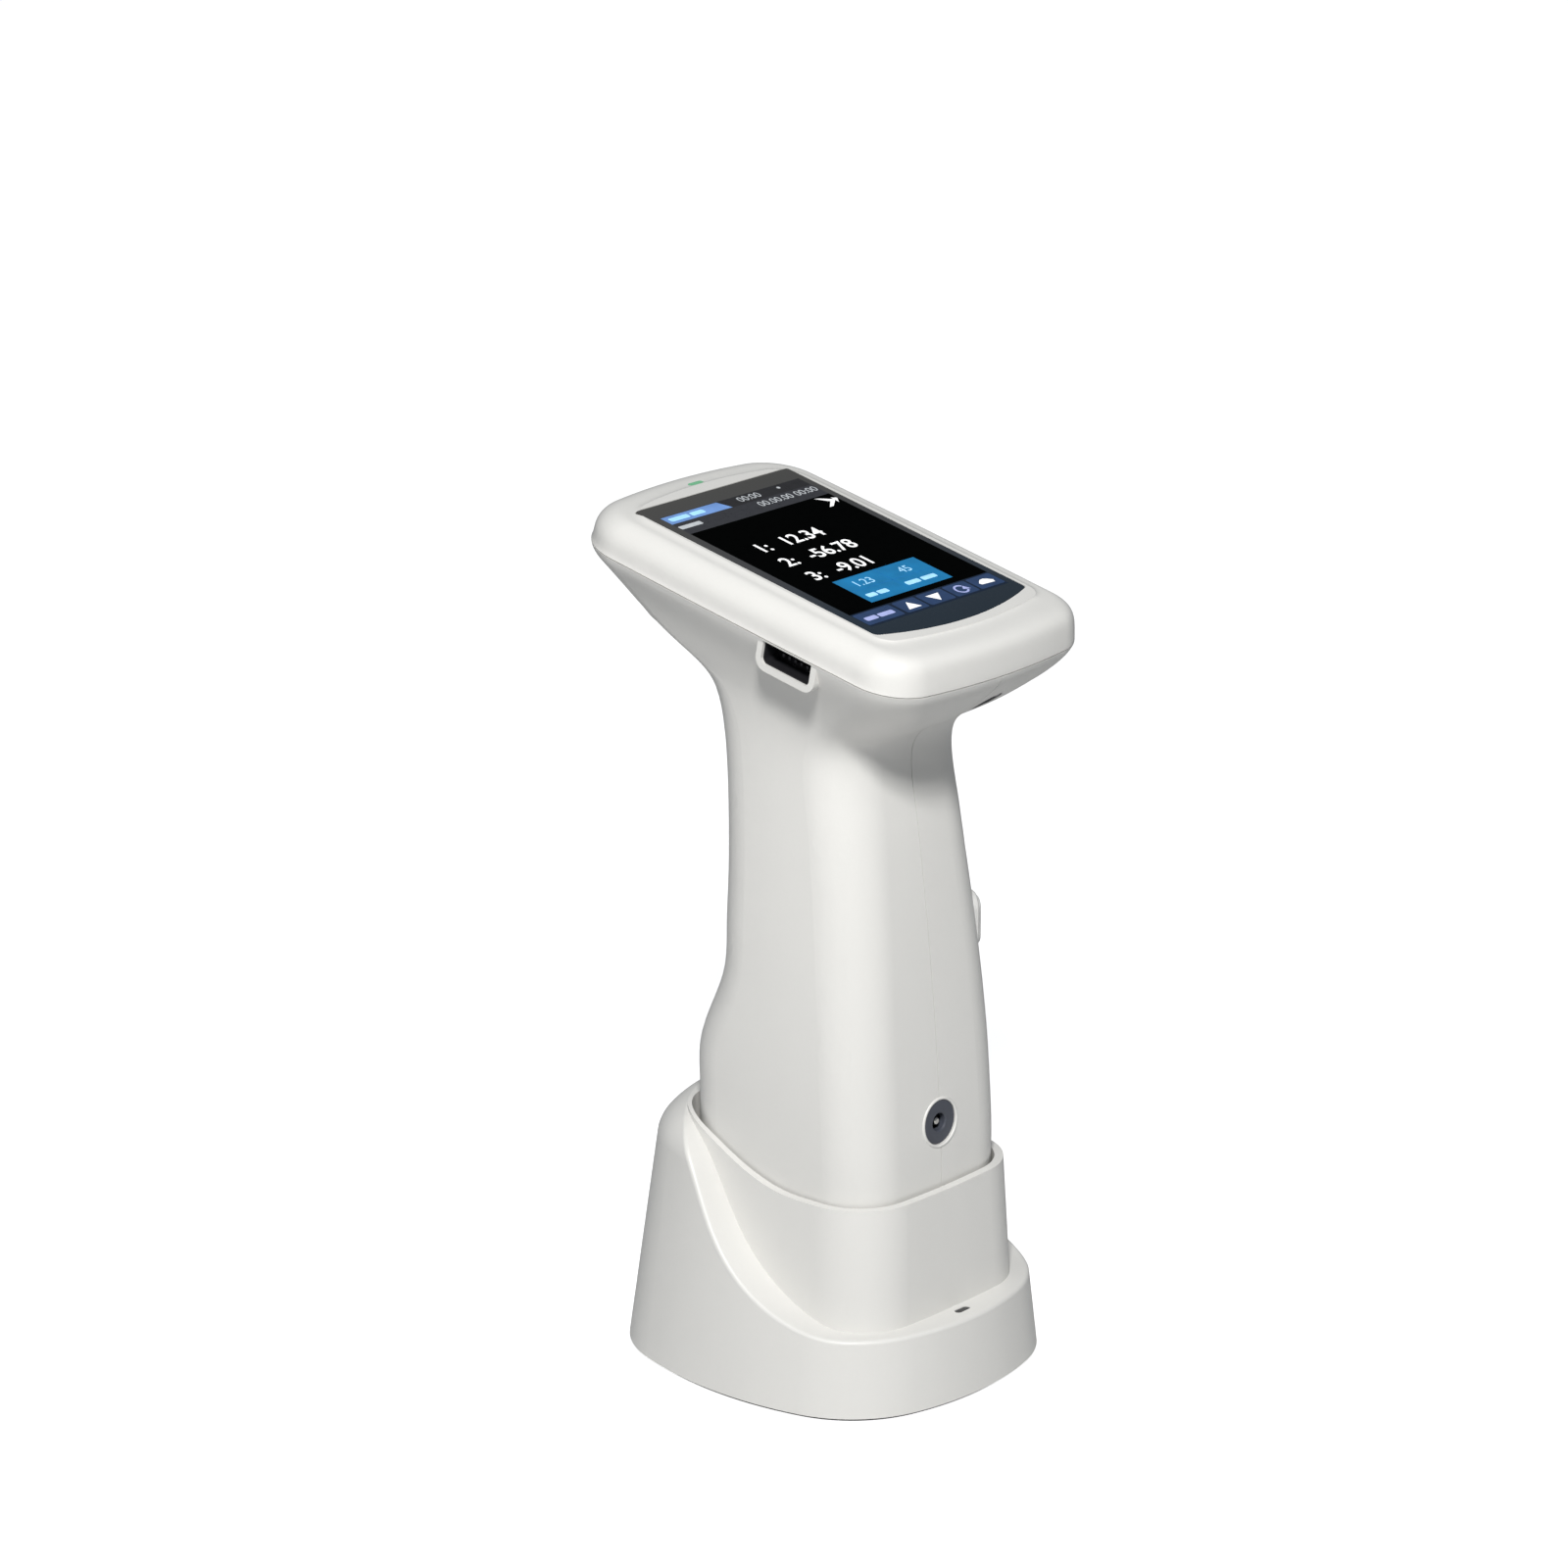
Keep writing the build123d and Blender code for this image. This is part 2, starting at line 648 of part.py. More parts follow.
# ---------------------------------------------------------------- optics in the nose
SPHERE_CENTRE = (0, -4, 41)
SPHERE_RADIUS = 20.5
SPHERE_WALL = 2.2
SPHERE_FLANGE = 22.5
APERTURE_RADIUS = 4
VIEW_TILT = 8
view_slope = radians(VIEW_TILT)
view_axis = Plane(
    origin=(0, SPHERE_CENTRE[1], SPHERE_CENTRE[2] - SPHERE_RADIUS),
    x_dir=(1, 0, 0),
    z_dir=(0, sin(view_slope), cos(view_slope)),
)
LAMP_RING_RADIUS = 12
LAMP_COUNT = 6


def level_at(z):
    return Plane(origin=(SPHERE_CENTRE[0], SPHERE_CENTRE[1], z))


with BuildPart() as sphere:
    with Locations(SPHERE_CENTRE):
        Sphere(SPHERE_RADIUS)
    with BuildSketch(level_at(SPHERE_CENTRE[2] - 2)):
        Circle(SPHERE_FLANGE)
    extrude(amount=4)
    with Locations(SPHERE_CENTRE):
        Sphere(SPHERE_RADIUS - SPHERE_WALL, mode=Mode.SUBTRACT)
    with BuildSketch(level_at(SPHERE_CENTRE[2] - SPHERE_RADIUS - 1)):
        Circle(APERTURE_RADIUS + 1.5)
    extrude(amount=10, mode=Mode.SUBTRACT)
    with BuildSketch(level_at(SPHERE_CENTRE[2])):
        with PolarLocations(LAMP_RING_RADIUS, LAMP_COUNT):
            Circle(1.9)
    extrude(amount=30, mode=Mode.SUBTRACT)
    with BuildSketch(view_axis.offset(SPHERE_RADIUS)):
        Circle(5.1)
    extrude(amount=40, mode=Mode.SUBTRACT)

with BuildPart() as sphere_lower:
    add(sphere.part)
    split(bisect_by=Plane.XY.offset(SPHERE_CENTRE[2]), keep=Keep.BOTTOM)
finish(sphere_lower, "sphere_lower")

with BuildPart() as sphere_upper:
    add(sphere.part)
    split(bisect_by=Plane.XY.offset(SPHERE_CENTRE[2]), keep=Keep.TOP)
finish(sphere_upper, "sphere_upper")

LAMP_BOARD_Z = 62.6
with BuildPart() as lamp_board:
    with BuildSketch(level_at(LAMP_BOARD_Z)):
        Circle(17)
        with Locations((0, (LAMP_BOARD_Z - view_axis.origin.Z) * tan(view_slope))):
            Circle(6.2, mode=Mode.SUBTRACT)
    extrude(amount=1.4)
finish(lamp_board, "lamp_board")

with BuildPart() as lamps:
    with BuildSketch(level_at(LAMP_BOARD_Z - 4.2)):
        with PolarLocations(LAMP_RING_RADIUS, LAMP_COUNT):
            Circle(1.5)
    extrude(amount=4.2)
finish(lamps, "lamps")

with BuildPart() as lens_barrel:
    with BuildSketch(view_axis.offset(2 * SPHERE_RADIUS - 2)):
        Circle(4.9)
        Circle(3.9, mode=Mode.SUBTRACT)
    extrude(amount=17)
finish(lens_barrel, "lens_barrel")

with BuildPart() as collecting_lens:
    with BuildSketch(view_axis.offset(2 * SPHERE_RADIUS + 4)):
        Circle(3.85)
    extrude(amount=2.4)
    fillet(collecting_lens.edges().filter_by(GeomType.CIRCLE), 0.9)
finish(collecting_lens, "collecting_lens")

BENCH_Z = 77.2
BENCH_SIZE = (38, 26, 13)
BENCH_CENTRE = (0, 3)
BENCH_WALL = 1.4
port_top_y = SPHERE_CENTRE[1] + (BENCH_Z - view_axis.origin.Z) * tan(view_slope)

with BuildPart() as spectrometer_bench:
    with BuildSketch(Plane.XY.offset(BENCH_Z)):
        with Locations(BENCH_CENTRE):
            RectangleRounded(BENCH_SIZE[0], BENCH_SIZE[1], 2)
    extrude(amount=BENCH_SIZE[2])
    with BuildSketch(Plane.XY.offset(BENCH_Z + BENCH_WALL)):
        with Locations(BENCH_CENTRE):
            RectangleRounded(BENCH_SIZE[0] - 2 * BENCH_WALL, BENCH_SIZE[1] - 2 * BENCH_WALL, 1)
    extrude(amount=BENCH_SIZE[2], mode=Mode.SUBTRACT)
    with BuildSketch(Plane.XY.offset(BENCH_Z)):
        with Locations((0, port_top_y)):
            Circle(2.5)
    extrude(amount=BENCH_WALL, mode=Mode.SUBTRACT)
finish(spectrometer_bench, "spectrometer_bench")

with BuildPart() as bench_lid:
    with BuildSketch(Plane.XY.offset(BENCH_Z + BENCH_SIZE[2])):
        with Locations(BENCH_CENTRE):
            RectangleRounded(BENCH_SIZE[0], BENCH_SIZE[1], 2)
    extrude(amount=1.2)
finish(bench_lid, "bench_lid")

with BuildPart() as fold_mirror:
    with BuildSketch(
        Plane(origin=(2.2, port_top_y, BENCH_Z + 6.4), x_dir=(0, 1, 0), z_dir=(-1, 0, -1))
    ):
        Rectangle(8, 8)
    extrude(amount=-1.2)
finish(fold_mirror, "fold_mirror")

with BuildPart() as grating:
    with BuildSketch(
        Plane(origin=(-13.2, 4, BENCH_Z + 6.6), x_dir=(0, 1, 0), z_dir=(1, 0.35, 0))
    ):
        Rectangle(9, 9)
    extrude(amount=-2)
finish(grating, "grating")

SENSOR_X = 14.8
with BuildPart() as sensor_board:
    with BuildSketch(across_x(SENSOR_X, BENCH_CENTRE[1], BENCH_Z + 7)):
        Rectangle(22, 10)
    extrude(amount=1.2)
finish(sensor_board, "sensor_board")

with BuildPart() as line_sensor:
    with BuildSketch(across_x(SENSOR_X - 2, BENCH_CENTRE[1], BENCH_Z + 7)):
        Rectangle(14, 4)
    extrude(amount=2)
finish(line_sensor, "line_sensor")

# ---------------------------------------------------------------- bottom cover
nose_half_width, nose_front, nose_back = 27.3, -35.0, 27.0
pad_places = [(-7, 21), (7, 21)]
bottom_screw_places = [(-20, -27), (20, -27), (-20, 19.5), (20, 19.5)]
APERTURE_RING_RADIUS = 15

with BuildPart() as bottom_cover:
    for z, grow in [(NOSE_Z, -0.9), (HOUSING_Z, 0.1)]:
        with BuildSketch(Plane.XY.offset(z)):
            add(
                bowed_block(
                    nose_half_width + grow, nose_front - grow, nose_back + grow, (1.6, 1.6), (12, 12)
                )
            )
    loft(ruled=True)
    with BuildSketch(Plane.XY.offset(HOUSING_Z)):
        add(bowed_block(25.2, -32.9, 24.8, (1.6, 1.6), (9.5, 9.5)))
        add(bowed_block(23.6, -31.3, 23.2, (1.6, 1.6), (8, 8)), mode=Mode.SUBTRACT)
    extrude(amount=2.2)
    with BuildSketch(level_at(NOSE_Z)):
        Circle(APERTURE_RING_RADIUS)
    extrude(amount=5, mode=Mode.SUBTRACT)
    with BuildSketch(Plane.XY.offset(NOSE_Z)):
        with Locations(*bottom_screw_places):
            Circle(1.25)
        with Locations(*pad_places):
            Rectangle(5, 3)
    extrude(amount=8, mode=Mode.SUBTRACT)
    with BuildSketch(Plane.XY.offset(NOSE_Z)):
        with Locations(*bottom_screw_places):
            Circle(2.4)
    extrude(amount=1.6, mode=Mode.SUBTRACT)
finish(bottom_cover, "bottom_cover")

with BuildPart() as bottom_screws:
    with BuildSketch(Plane.XY.offset(NOSE_Z + 0.2)):
        with Locations(*bottom_screw_places):
            Circle(2.2)
    extrude(amount=1.4)
    with BuildSketch(Plane.XY.offset(NOSE_Z + 1.6)):
        with Locations(*bottom_screw_places):
            Circle(1.2)
    extrude(amount=6)
    with BuildSketch(Plane.XY.offset(NOSE_Z + 0.2)):
        with Locations(*bottom_screw_places):
            Rectangle(2.8, 0.6)
            Rectangle(0.6, 2.8)
    extrude(amount=0.7, mode=Mode.SUBTRACT)
finish(bottom_screws, "bottom_screws")

with BuildPart() as charge_pads:
    with BuildSketch(Plane.XY.offset(NOSE_Z + 0.3)):
        with Locations(*pad_places):
            Rectangle(5, 3)
    extrude(amount=2.2)
finish(charge_pads, "charge_pads")

with BuildPart() as aperture_ring:
    with BuildSketch(level_at(NOSE_Z + 0.1)):
        Circle(APERTURE_RING_RADIUS - 0.05)
    extrude(amount=4.4)
    with BuildSketch(level_at(NOSE_Z + 0.1)):
        Circle(APERTURE_RADIUS)
    extrude(amount=8, mode=Mode.SUBTRACT)
    with BuildSketch(level_at(NOSE_Z + 1.6)):
        Circle(11)
    extrude(amount=8, mode=Mode.SUBTRACT)
    with BuildSketch(level_at(NOSE_Z + 1.6)):
        Circle(APERTURE_RADIUS + 1.3)
        Circle(APERTURE_RADIUS, mode=Mode.SUBTRACT)
    extrude(amount=4.6)
finish(aperture_ring, "aperture_ring")

# ---------------------------------------------------------------- dock
CUP_HALF_WIDTH = 30.2  # inside, at the rim
CUP_FRONT = -37.5
CUP_BACK = 30.2
CUP_RADIUS = 15
CUP_WALL = 2.2  # at the rim
CUP_DRAFT = 0.025  # of the inside, narrowing downward
CUP_FLARE = 0.045  # of the outside, widening downward
LEDGE_Z = 21.0  # at the front
RIM_Z = 53.0  # at the front
DOCK_BOWS = (9.5, 9.5)
DOCK_RADIUS = 31
dock_side_slope = 0.10
dock_front_slope = 0.09
dock_back_slope = 0.12
SHOULDER_RADIUS = 9
SHOULDER_SWEEP = 75  # degrees of the shoulder's round
SHOULDER_STEP = 15


def dock_station(z, inset=0):
    """The skirt leans inward going up, most at the back."""
    half_width = DOCK_HALF_WIDTH - dock_side_slope * z - inset
    front = -DOCK_HALF_LENGTH + dock_front_slope * z + inset
    back = DOCK_HALF_LENGTH - dock_back_slope * z - inset
    radius = DOCK_RADIUS - inset - 0.05 * z
    return bowed_block(half_width, front, back, DOCK_BOWS, (radius, radius))


def dock_loft(inset=0):
    """The skirt's block: straight sides, and a top that rounds over like a shoulder."""
    shoulder_start = DOCK_TOP_Z - SHOULDER_RADIUS
    with BuildPart() as skirt:
        for z in [DOCK_SKIRT_Z - inset, shoulder_start]:
            with BuildSketch(Plane.XY.offset(z)):
                add(dock_station(z, inset))
        loft(ruled=True)
        for turn in range(0, SHOULDER_SWEEP + 1, SHOULDER_STEP):
            angle = radians(turn)
            z = shoulder_start + SHOULDER_RADIUS * sin(angle)
            round_in = SHOULDER_RADIUS * (1 - cos(angle))
            with BuildSketch(Plane.XY.offset(z)):
                add(dock_station(z, inset + round_in))
        loft()
    return skirt.part


def cup_loft(low, high, grow):
    """The cup's own tapered outline, grown outward from its inner wall."""
    with BuildPart() as cup:
        for z in [low, high]:
            above_rim = z - RIM_Z
            widen = grow - CUP_FLARE * above_rim if grow else CUP_DRAFT * above_rim
            with BuildSketch(Plane.XY.offset(z)):
                radius = CUP_RADIUS + grow
                add(
                    bowed_block(
                        CUP_HALF_WIDTH + widen,
                        CUP_FRONT - widen,
                        CUP_BACK + widen,
                        (1.8, 1.8),
                        (radius, radius),
                    )
                )
        loft(ruled=True)
    return cup.part


def side_profile(drop, points, low):
    """A slab across X, under a curve of (y, z) points lowered by a drop."""
    lowered = [(y, z - drop) for y, z in points]
    with BuildPart() as slab:
        with BuildSketch(Plane.YZ.offset(-60)):
            with BuildLine():
                Line((-70, lowered[0][1]), lowered[0])
                Spline(*lowered, tangents=[(1, 0), (1, 0)])
                Polyline(lowered[-1], (70, lowered[-1][1]), (70, low), (-70, low))
                Line((-70, low), (-70, lowered[0][1]))
            make_face()
        extrude(amount=120)
    return slab.part


# The ledge sweeps up from the front, meets the rim at the back and rounds over behind it.
ledge_curve = [
    (-36, LEDGE_Z),
    (-20, 24.2),
    (-7, 31.4),
    (3, 41.5),
    (11, 53.5),
    (18, 61.6),
    (27, DOCK_TOP_Z - 0.9),
    (36, DOCK_TOP_Z - 0.7),
    (46, DOCK_TOP_Z - 0.7),
]
rim_curve = [
    (-16, RIM_Z),
    (-2, 55.2),
    (10, 60),
    (20, 64.4),
    (27, DOCK_TOP_Z),
    (36, DOCK_TOP_Z),
    (46, DOCK_TOP_Z),
]
LEDGE_ROUND = 1.0

# The screws rise from the base plate into bosses under the cup's floor.
dock_screw_places = [(-25, -26), (25, -26), (-25, 28), (25, 28)]
BASE_LOW = 1.2
BASE_THICK = 2.0
TILE_RADIUS = 13
TILE_RING_RADIUS = 16
TILE_RECESS = 2.4
PIN_BLOCK_SIZE = (22, 7.6)
PIN_BLOCK_PLACE = (0, 21)
INLET_PLACE = (0, 8.4)
INLET_RADIUS = 3.6
INLET_END_THICK = 0.8  # leaves 0.2 to the cup's flared wall
WINDOW_PLACE = (0, -44.0)
WINDOW_SIZE = (5.0, 2.0)

with BuildPart() as dock_skirt:
    add(dock_loft())
    add(side_profile(0, ledge_curve, -5), mode=Mode.INTERSECT)
    top_edges = [
        edge
        for edge in dock_skirt.edges()
        if edge.center().Z > LEDGE_Z / 2 + 2
        and not (edge.bounding_box().size.X > 40 and -38 < edge.center().Y < 30)
    ]
    fillet(top_edges, LEDGE_ROUND)

with BuildPart() as dock_cup:
    add(cup_loft(CUP_FLOOR_Z - CUP_FLOOR_THICK, DOCK_TOP_Z + 4, CUP_WALL))
    add(side_profile(0, rim_curve, -5), mode=Mode.INTERSECT)

with BuildPart() as dock_hollow:
    add(dock_loft(DOCK_WALL))
    add(side_profile(DOCK_WALL + 0.4, ledge_curve, -10), mode=Mode.INTERSECT)
    add(cup_loft(CUP_FLOOR_Z - CUP_FLOOR_THICK, DOCK_TOP_Z + 8, CUP_WALL), mode=Mode.SUBTRACT)

with BuildPart() as dock_shell:
    add(dock_skirt.part)
    add(dock_cup.part)
    add(dock_hollow.part, mode=Mode.SUBTRACT)
    add(cup_loft(CUP_FLOOR_Z, DOCK_TOP_Z + 8, 0), mode=Mode.SUBTRACT)
    with BuildSketch(Plane.XY.offset(BASE_LOW + BASE_THICK)):
        with Locations(*dock_screw_places):
            Circle(3.4)
    extrude(amount=CUP_FLOOR_Z - CUP_FLOOR_THICK - BASE_LOW - BASE_THICK + 0.5)
    with BuildSketch(Plane.XY.offset(BASE_LOW + BASE_THICK)):
        with Locations(*dock_screw_places):
            Circle(1.25)
    extrude(amount=6.5, mode=Mode.SUBTRACT)
    with BuildSketch(level_at(CUP_FLOOR_Z - TILE_RECESS)):
        Circle(TILE_RING_RADIUS)
    extrude(amount=TILE_RECESS + 2, mode=Mode.SUBTRACT)
    with BuildSketch(Plane.XY.offset(CUP_FLOOR_Z - 6)):
        with Locations(PIN_BLOCK_PLACE):
            Rectangle(*PIN_BLOCK_SIZE)
    extrude(amount=10, mode=Mode.SUBTRACT)
    with BuildSketch(Plane.XZ.offset(-55)):
        with Locations(INLET_PLACE):
            Circle(INLET_RADIUS)
    extrude(amount=14, mode=Mode.SUBTRACT)
    with BuildSketch(Plane.XY.offset(10)):
        with Locations(WINDOW_PLACE):
            SlotOverall(*WINDOW_SIZE)
    extrude(amount=20, mode=Mode.SUBTRACT)
finish(dock_shell, "dock_shell")

with BuildPart() as dock_base_plate:
    with BuildSketch(Plane.XY.offset(BASE_LOW)):
        add(dock_station(BASE_LOW + BASE_THICK, DOCK_WALL + 0.25))
    extrude(amount=BASE_THICK)
    with BuildSketch(Plane.XY.offset(BASE_LOW)):
        with Locations(*dock_screw_places):
            Circle(1.4)
    extrude(amount=BASE_THICK, mode=Mode.SUBTRACT)
    with BuildSketch(Plane.XY.offset(BASE_LOW)):
        with Locations(*dock_screw_places):
            Circle(3)
    extrude(amount=1.1, mode=Mode.SUBTRACT)
    # Posts that carry the board.
    with BuildSketch(Plane.XY.offset(BASE_LOW + BASE_THICK)):
        with GridLocations(30, 34, 2, 2):
            Circle(2)
    extrude(amount=1.2)
finish(dock_base_plate, "dock_base_plate")

FOOT_PAD_INSET = 5.5
FOOT_BRIM_INSET = 1.2
with BuildPart() as dock_foot_pad:
    with BuildSketch():
        add(dock_station(0, FOOT_PAD_INSET))
        with Locations(*dock_screw_places):
            Circle(4, mode=Mode.SUBTRACT)
    extrude(amount=BASE_LOW)
    # A thinner brim reaches out under the skirt's edge.
    with BuildSketch():
        add(dock_station(0, FOOT_BRIM_INSET))
        add(dock_station(0, FOOT_PAD_INSET + 0.5), mode=Mode.SUBTRACT)
    extrude(amount=DOCK_SKIRT_Z - 0.1)
finish(dock_foot_pad, "dock_foot_pad")

with BuildPart() as dock_screws:
    with BuildSketch(Plane.XY.offset(BASE_LOW + 0.1)):
        with Locations(*dock_screw_places):
            Circle(2.6)
    extrude(amount=1.0)
    with BuildSketch(Plane.XY.offset(BASE_LOW + 1.1)):
        with Locations(*dock_screw_places):
            Circle(1.2)
    extrude(amount=6)
    with BuildSketch(Plane.XY.offset(BASE_LOW + 0.1)):
        with Locations(*dock_screw_places):
            Rectangle(3, 0.7)
            Rectangle(0.7, 3)
    extrude(amount=0.6, mode=Mode.SUBTRACT)
finish(dock_screws, "dock_screws")

DOCK_BOARD_Z = BASE_LOW + BASE_THICK + 1.2
with BuildPart() as dock_board:
    with BuildSketch(Plane.XY.offset(DOCK_BOARD_Z)):
        with Locations((0, 1)):
            RectangleRounded(36, 64, 2)
    extrude(amount=1.6)
    with BuildSketch(Plane.XY.offset(DOCK_BOARD_Z + 1.6)):
        with Locations((-8, -2), (9, -8)):
            Rectangle(8, 8)
        with GridLocations(4, 6, 6, 1):
            Rectangle(1.4, 2.4)
    extrude(amount=1.4)
finish(dock_board, "dock_board")

with BuildPart() as dock_inlet:
    with BuildSketch(Plane.XZ.offset(-46.4)):
        with Locations(INLET_PLACE):
            Circle(INLET_RADIUS - 0.1)
            Circle(2.8, mode=Mode.SUBTRACT)
    extrude(amount=3)
    with BuildSketch(Plane.XZ.offset(-43.4)):
        with Locations((0, INLET_PLACE[1] - 0.6)):
            Rectangle(9, 8)
        with Locations(INLET_PLACE):
            Circle(2.8, mode=Mode.SUBTRACT)
    extrude(amount=8)
    with BuildSketch(Plane.XZ.offset(-35.4)):
        with Locations((0, INLET_PLACE[1] - 0.6)):
            Rectangle(9, 8)
    extrude(amount=INLET_END_THICK)
    with BuildSketch(Plane.XZ.offset(-45.4)):
        with Locations(INLET_PLACE):
            Circle(1.05)
    extrude(amount=10.5)
finish(dock_inlet, "dock_inlet")

with BuildPart() as dock_light_pipe:
    with BuildSketch(Plane.XY.offset(LEDGE_Z - 5)):
        with Locations(WINDOW_PLACE):
            SlotOverall(WINDOW_SIZE[0] - 0.1, WINDOW_SIZE[1] - 0.1)
    extrude(amount=4.8)
finish(dock_light_pipe, "dock_light_pipe")

with BuildPart() as white_tile:
    with BuildSketch(level_at(CUP_FLOOR_Z - TILE_RECESS)):
        Circle(TILE_RADIUS)
    extrude(amount=2)
finish(white_tile, "white_tile")

with BuildPart() as tile_retainer:
    with BuildSketch(level_at(CUP_FLOOR_Z - TILE_RECESS)):
        Circle(TILE_RING_RADIUS - 0.05)
        Circle(TILE_RADIUS + 0.05, mode=Mode.SUBTRACT)
    extrude(amount=TILE_RECESS - 0.1)
finish(tile_retainer, "tile_retainer")

PIN_TOP_Z = NOSE_Z + 0.2
PIN_RADIUS = 0.9
PIN_FLANGE_RADIUS = 1.45
PIN_BORE_TOP = 10.6

with BuildPart() as contact_block:
    with BuildSketch(Plane.XY.offset(DOCK_BOARD_Z + 1.6)):
        with Locations(PIN_BLOCK_PLACE):
            Rectangle(PIN_BLOCK_SIZE[0] - 0.1, PIN_BLOCK_SIZE[1] - 0.1)
    extrude(amount=CUP_FLOOR_Z - DOCK_BOARD_Z - 1.6)
    with BuildSketch(Plane.XY.offset(DOCK_BOARD_Z + 1.6)):
        with Locations(*pad_places):
            Circle(PIN_RADIUS + 0.06)
    extrude(amount=20, mode=Mode.SUBTRACT)
    with BuildSketch(Plane.XY.offset(DOCK_BOARD_Z + 1.6)):
        with Locations(*pad_places):
            Circle(PIN_FLANGE_RADIUS + 0.3)
    extrude(amount=PIN_BORE_TOP - DOCK_BOARD_Z - 1.6, mode=Mode.SUBTRACT)
finish(contact_block, "contact_block")


def contact_pin(place):
    """A sprung contact: a round shaft over a flange that keeps it in its bore."""
    with BuildPart() as pin:
        with BuildSketch(Plane.XY.offset(PIN_BORE_TOP - 0.9)):
            with Locations(place):
                Circle(PIN_FLANGE_RADIUS)
        extrude(amount=0.7)
        with BuildSketch(Plane.XY.offset(PIN_BORE_TOP - 0.9)):
            with Locations(place):
                Circle(PIN_RADIUS)
        extrude(amount=PIN_TOP_Z - PIN_BORE_TOP + 0.9)
        fillet(pin.edges().filter_by(GeomType.CIRCLE).sort_by(Axis.Z)[-1], 0.5)
    return pin


for side, place in zip(("left", "right"), pad_places):
    finish(contact_pin(place), f"contact_pin_{side}")
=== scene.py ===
import math

import bmesh
import bpy
from mathutils import Matrix, Vector


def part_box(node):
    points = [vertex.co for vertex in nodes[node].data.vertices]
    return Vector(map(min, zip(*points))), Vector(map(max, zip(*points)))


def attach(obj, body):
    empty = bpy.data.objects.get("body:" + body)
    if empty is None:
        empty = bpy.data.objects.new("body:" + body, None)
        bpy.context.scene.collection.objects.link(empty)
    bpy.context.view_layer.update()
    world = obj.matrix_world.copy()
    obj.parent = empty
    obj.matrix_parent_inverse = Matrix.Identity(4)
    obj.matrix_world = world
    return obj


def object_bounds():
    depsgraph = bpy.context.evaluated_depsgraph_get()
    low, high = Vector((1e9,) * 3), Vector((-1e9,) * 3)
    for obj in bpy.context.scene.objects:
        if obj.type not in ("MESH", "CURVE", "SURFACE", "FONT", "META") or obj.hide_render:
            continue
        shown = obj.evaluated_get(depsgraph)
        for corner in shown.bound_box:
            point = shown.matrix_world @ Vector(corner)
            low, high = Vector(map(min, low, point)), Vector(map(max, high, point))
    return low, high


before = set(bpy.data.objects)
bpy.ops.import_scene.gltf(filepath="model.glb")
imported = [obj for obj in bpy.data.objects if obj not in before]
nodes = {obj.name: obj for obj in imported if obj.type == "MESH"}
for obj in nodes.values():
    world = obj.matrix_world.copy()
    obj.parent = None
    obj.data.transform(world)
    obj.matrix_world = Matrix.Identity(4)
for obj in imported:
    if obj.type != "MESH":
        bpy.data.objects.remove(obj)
cad_lo, cad_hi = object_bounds()
MM = 0.001

# ---------------------------------------------------------------- materials


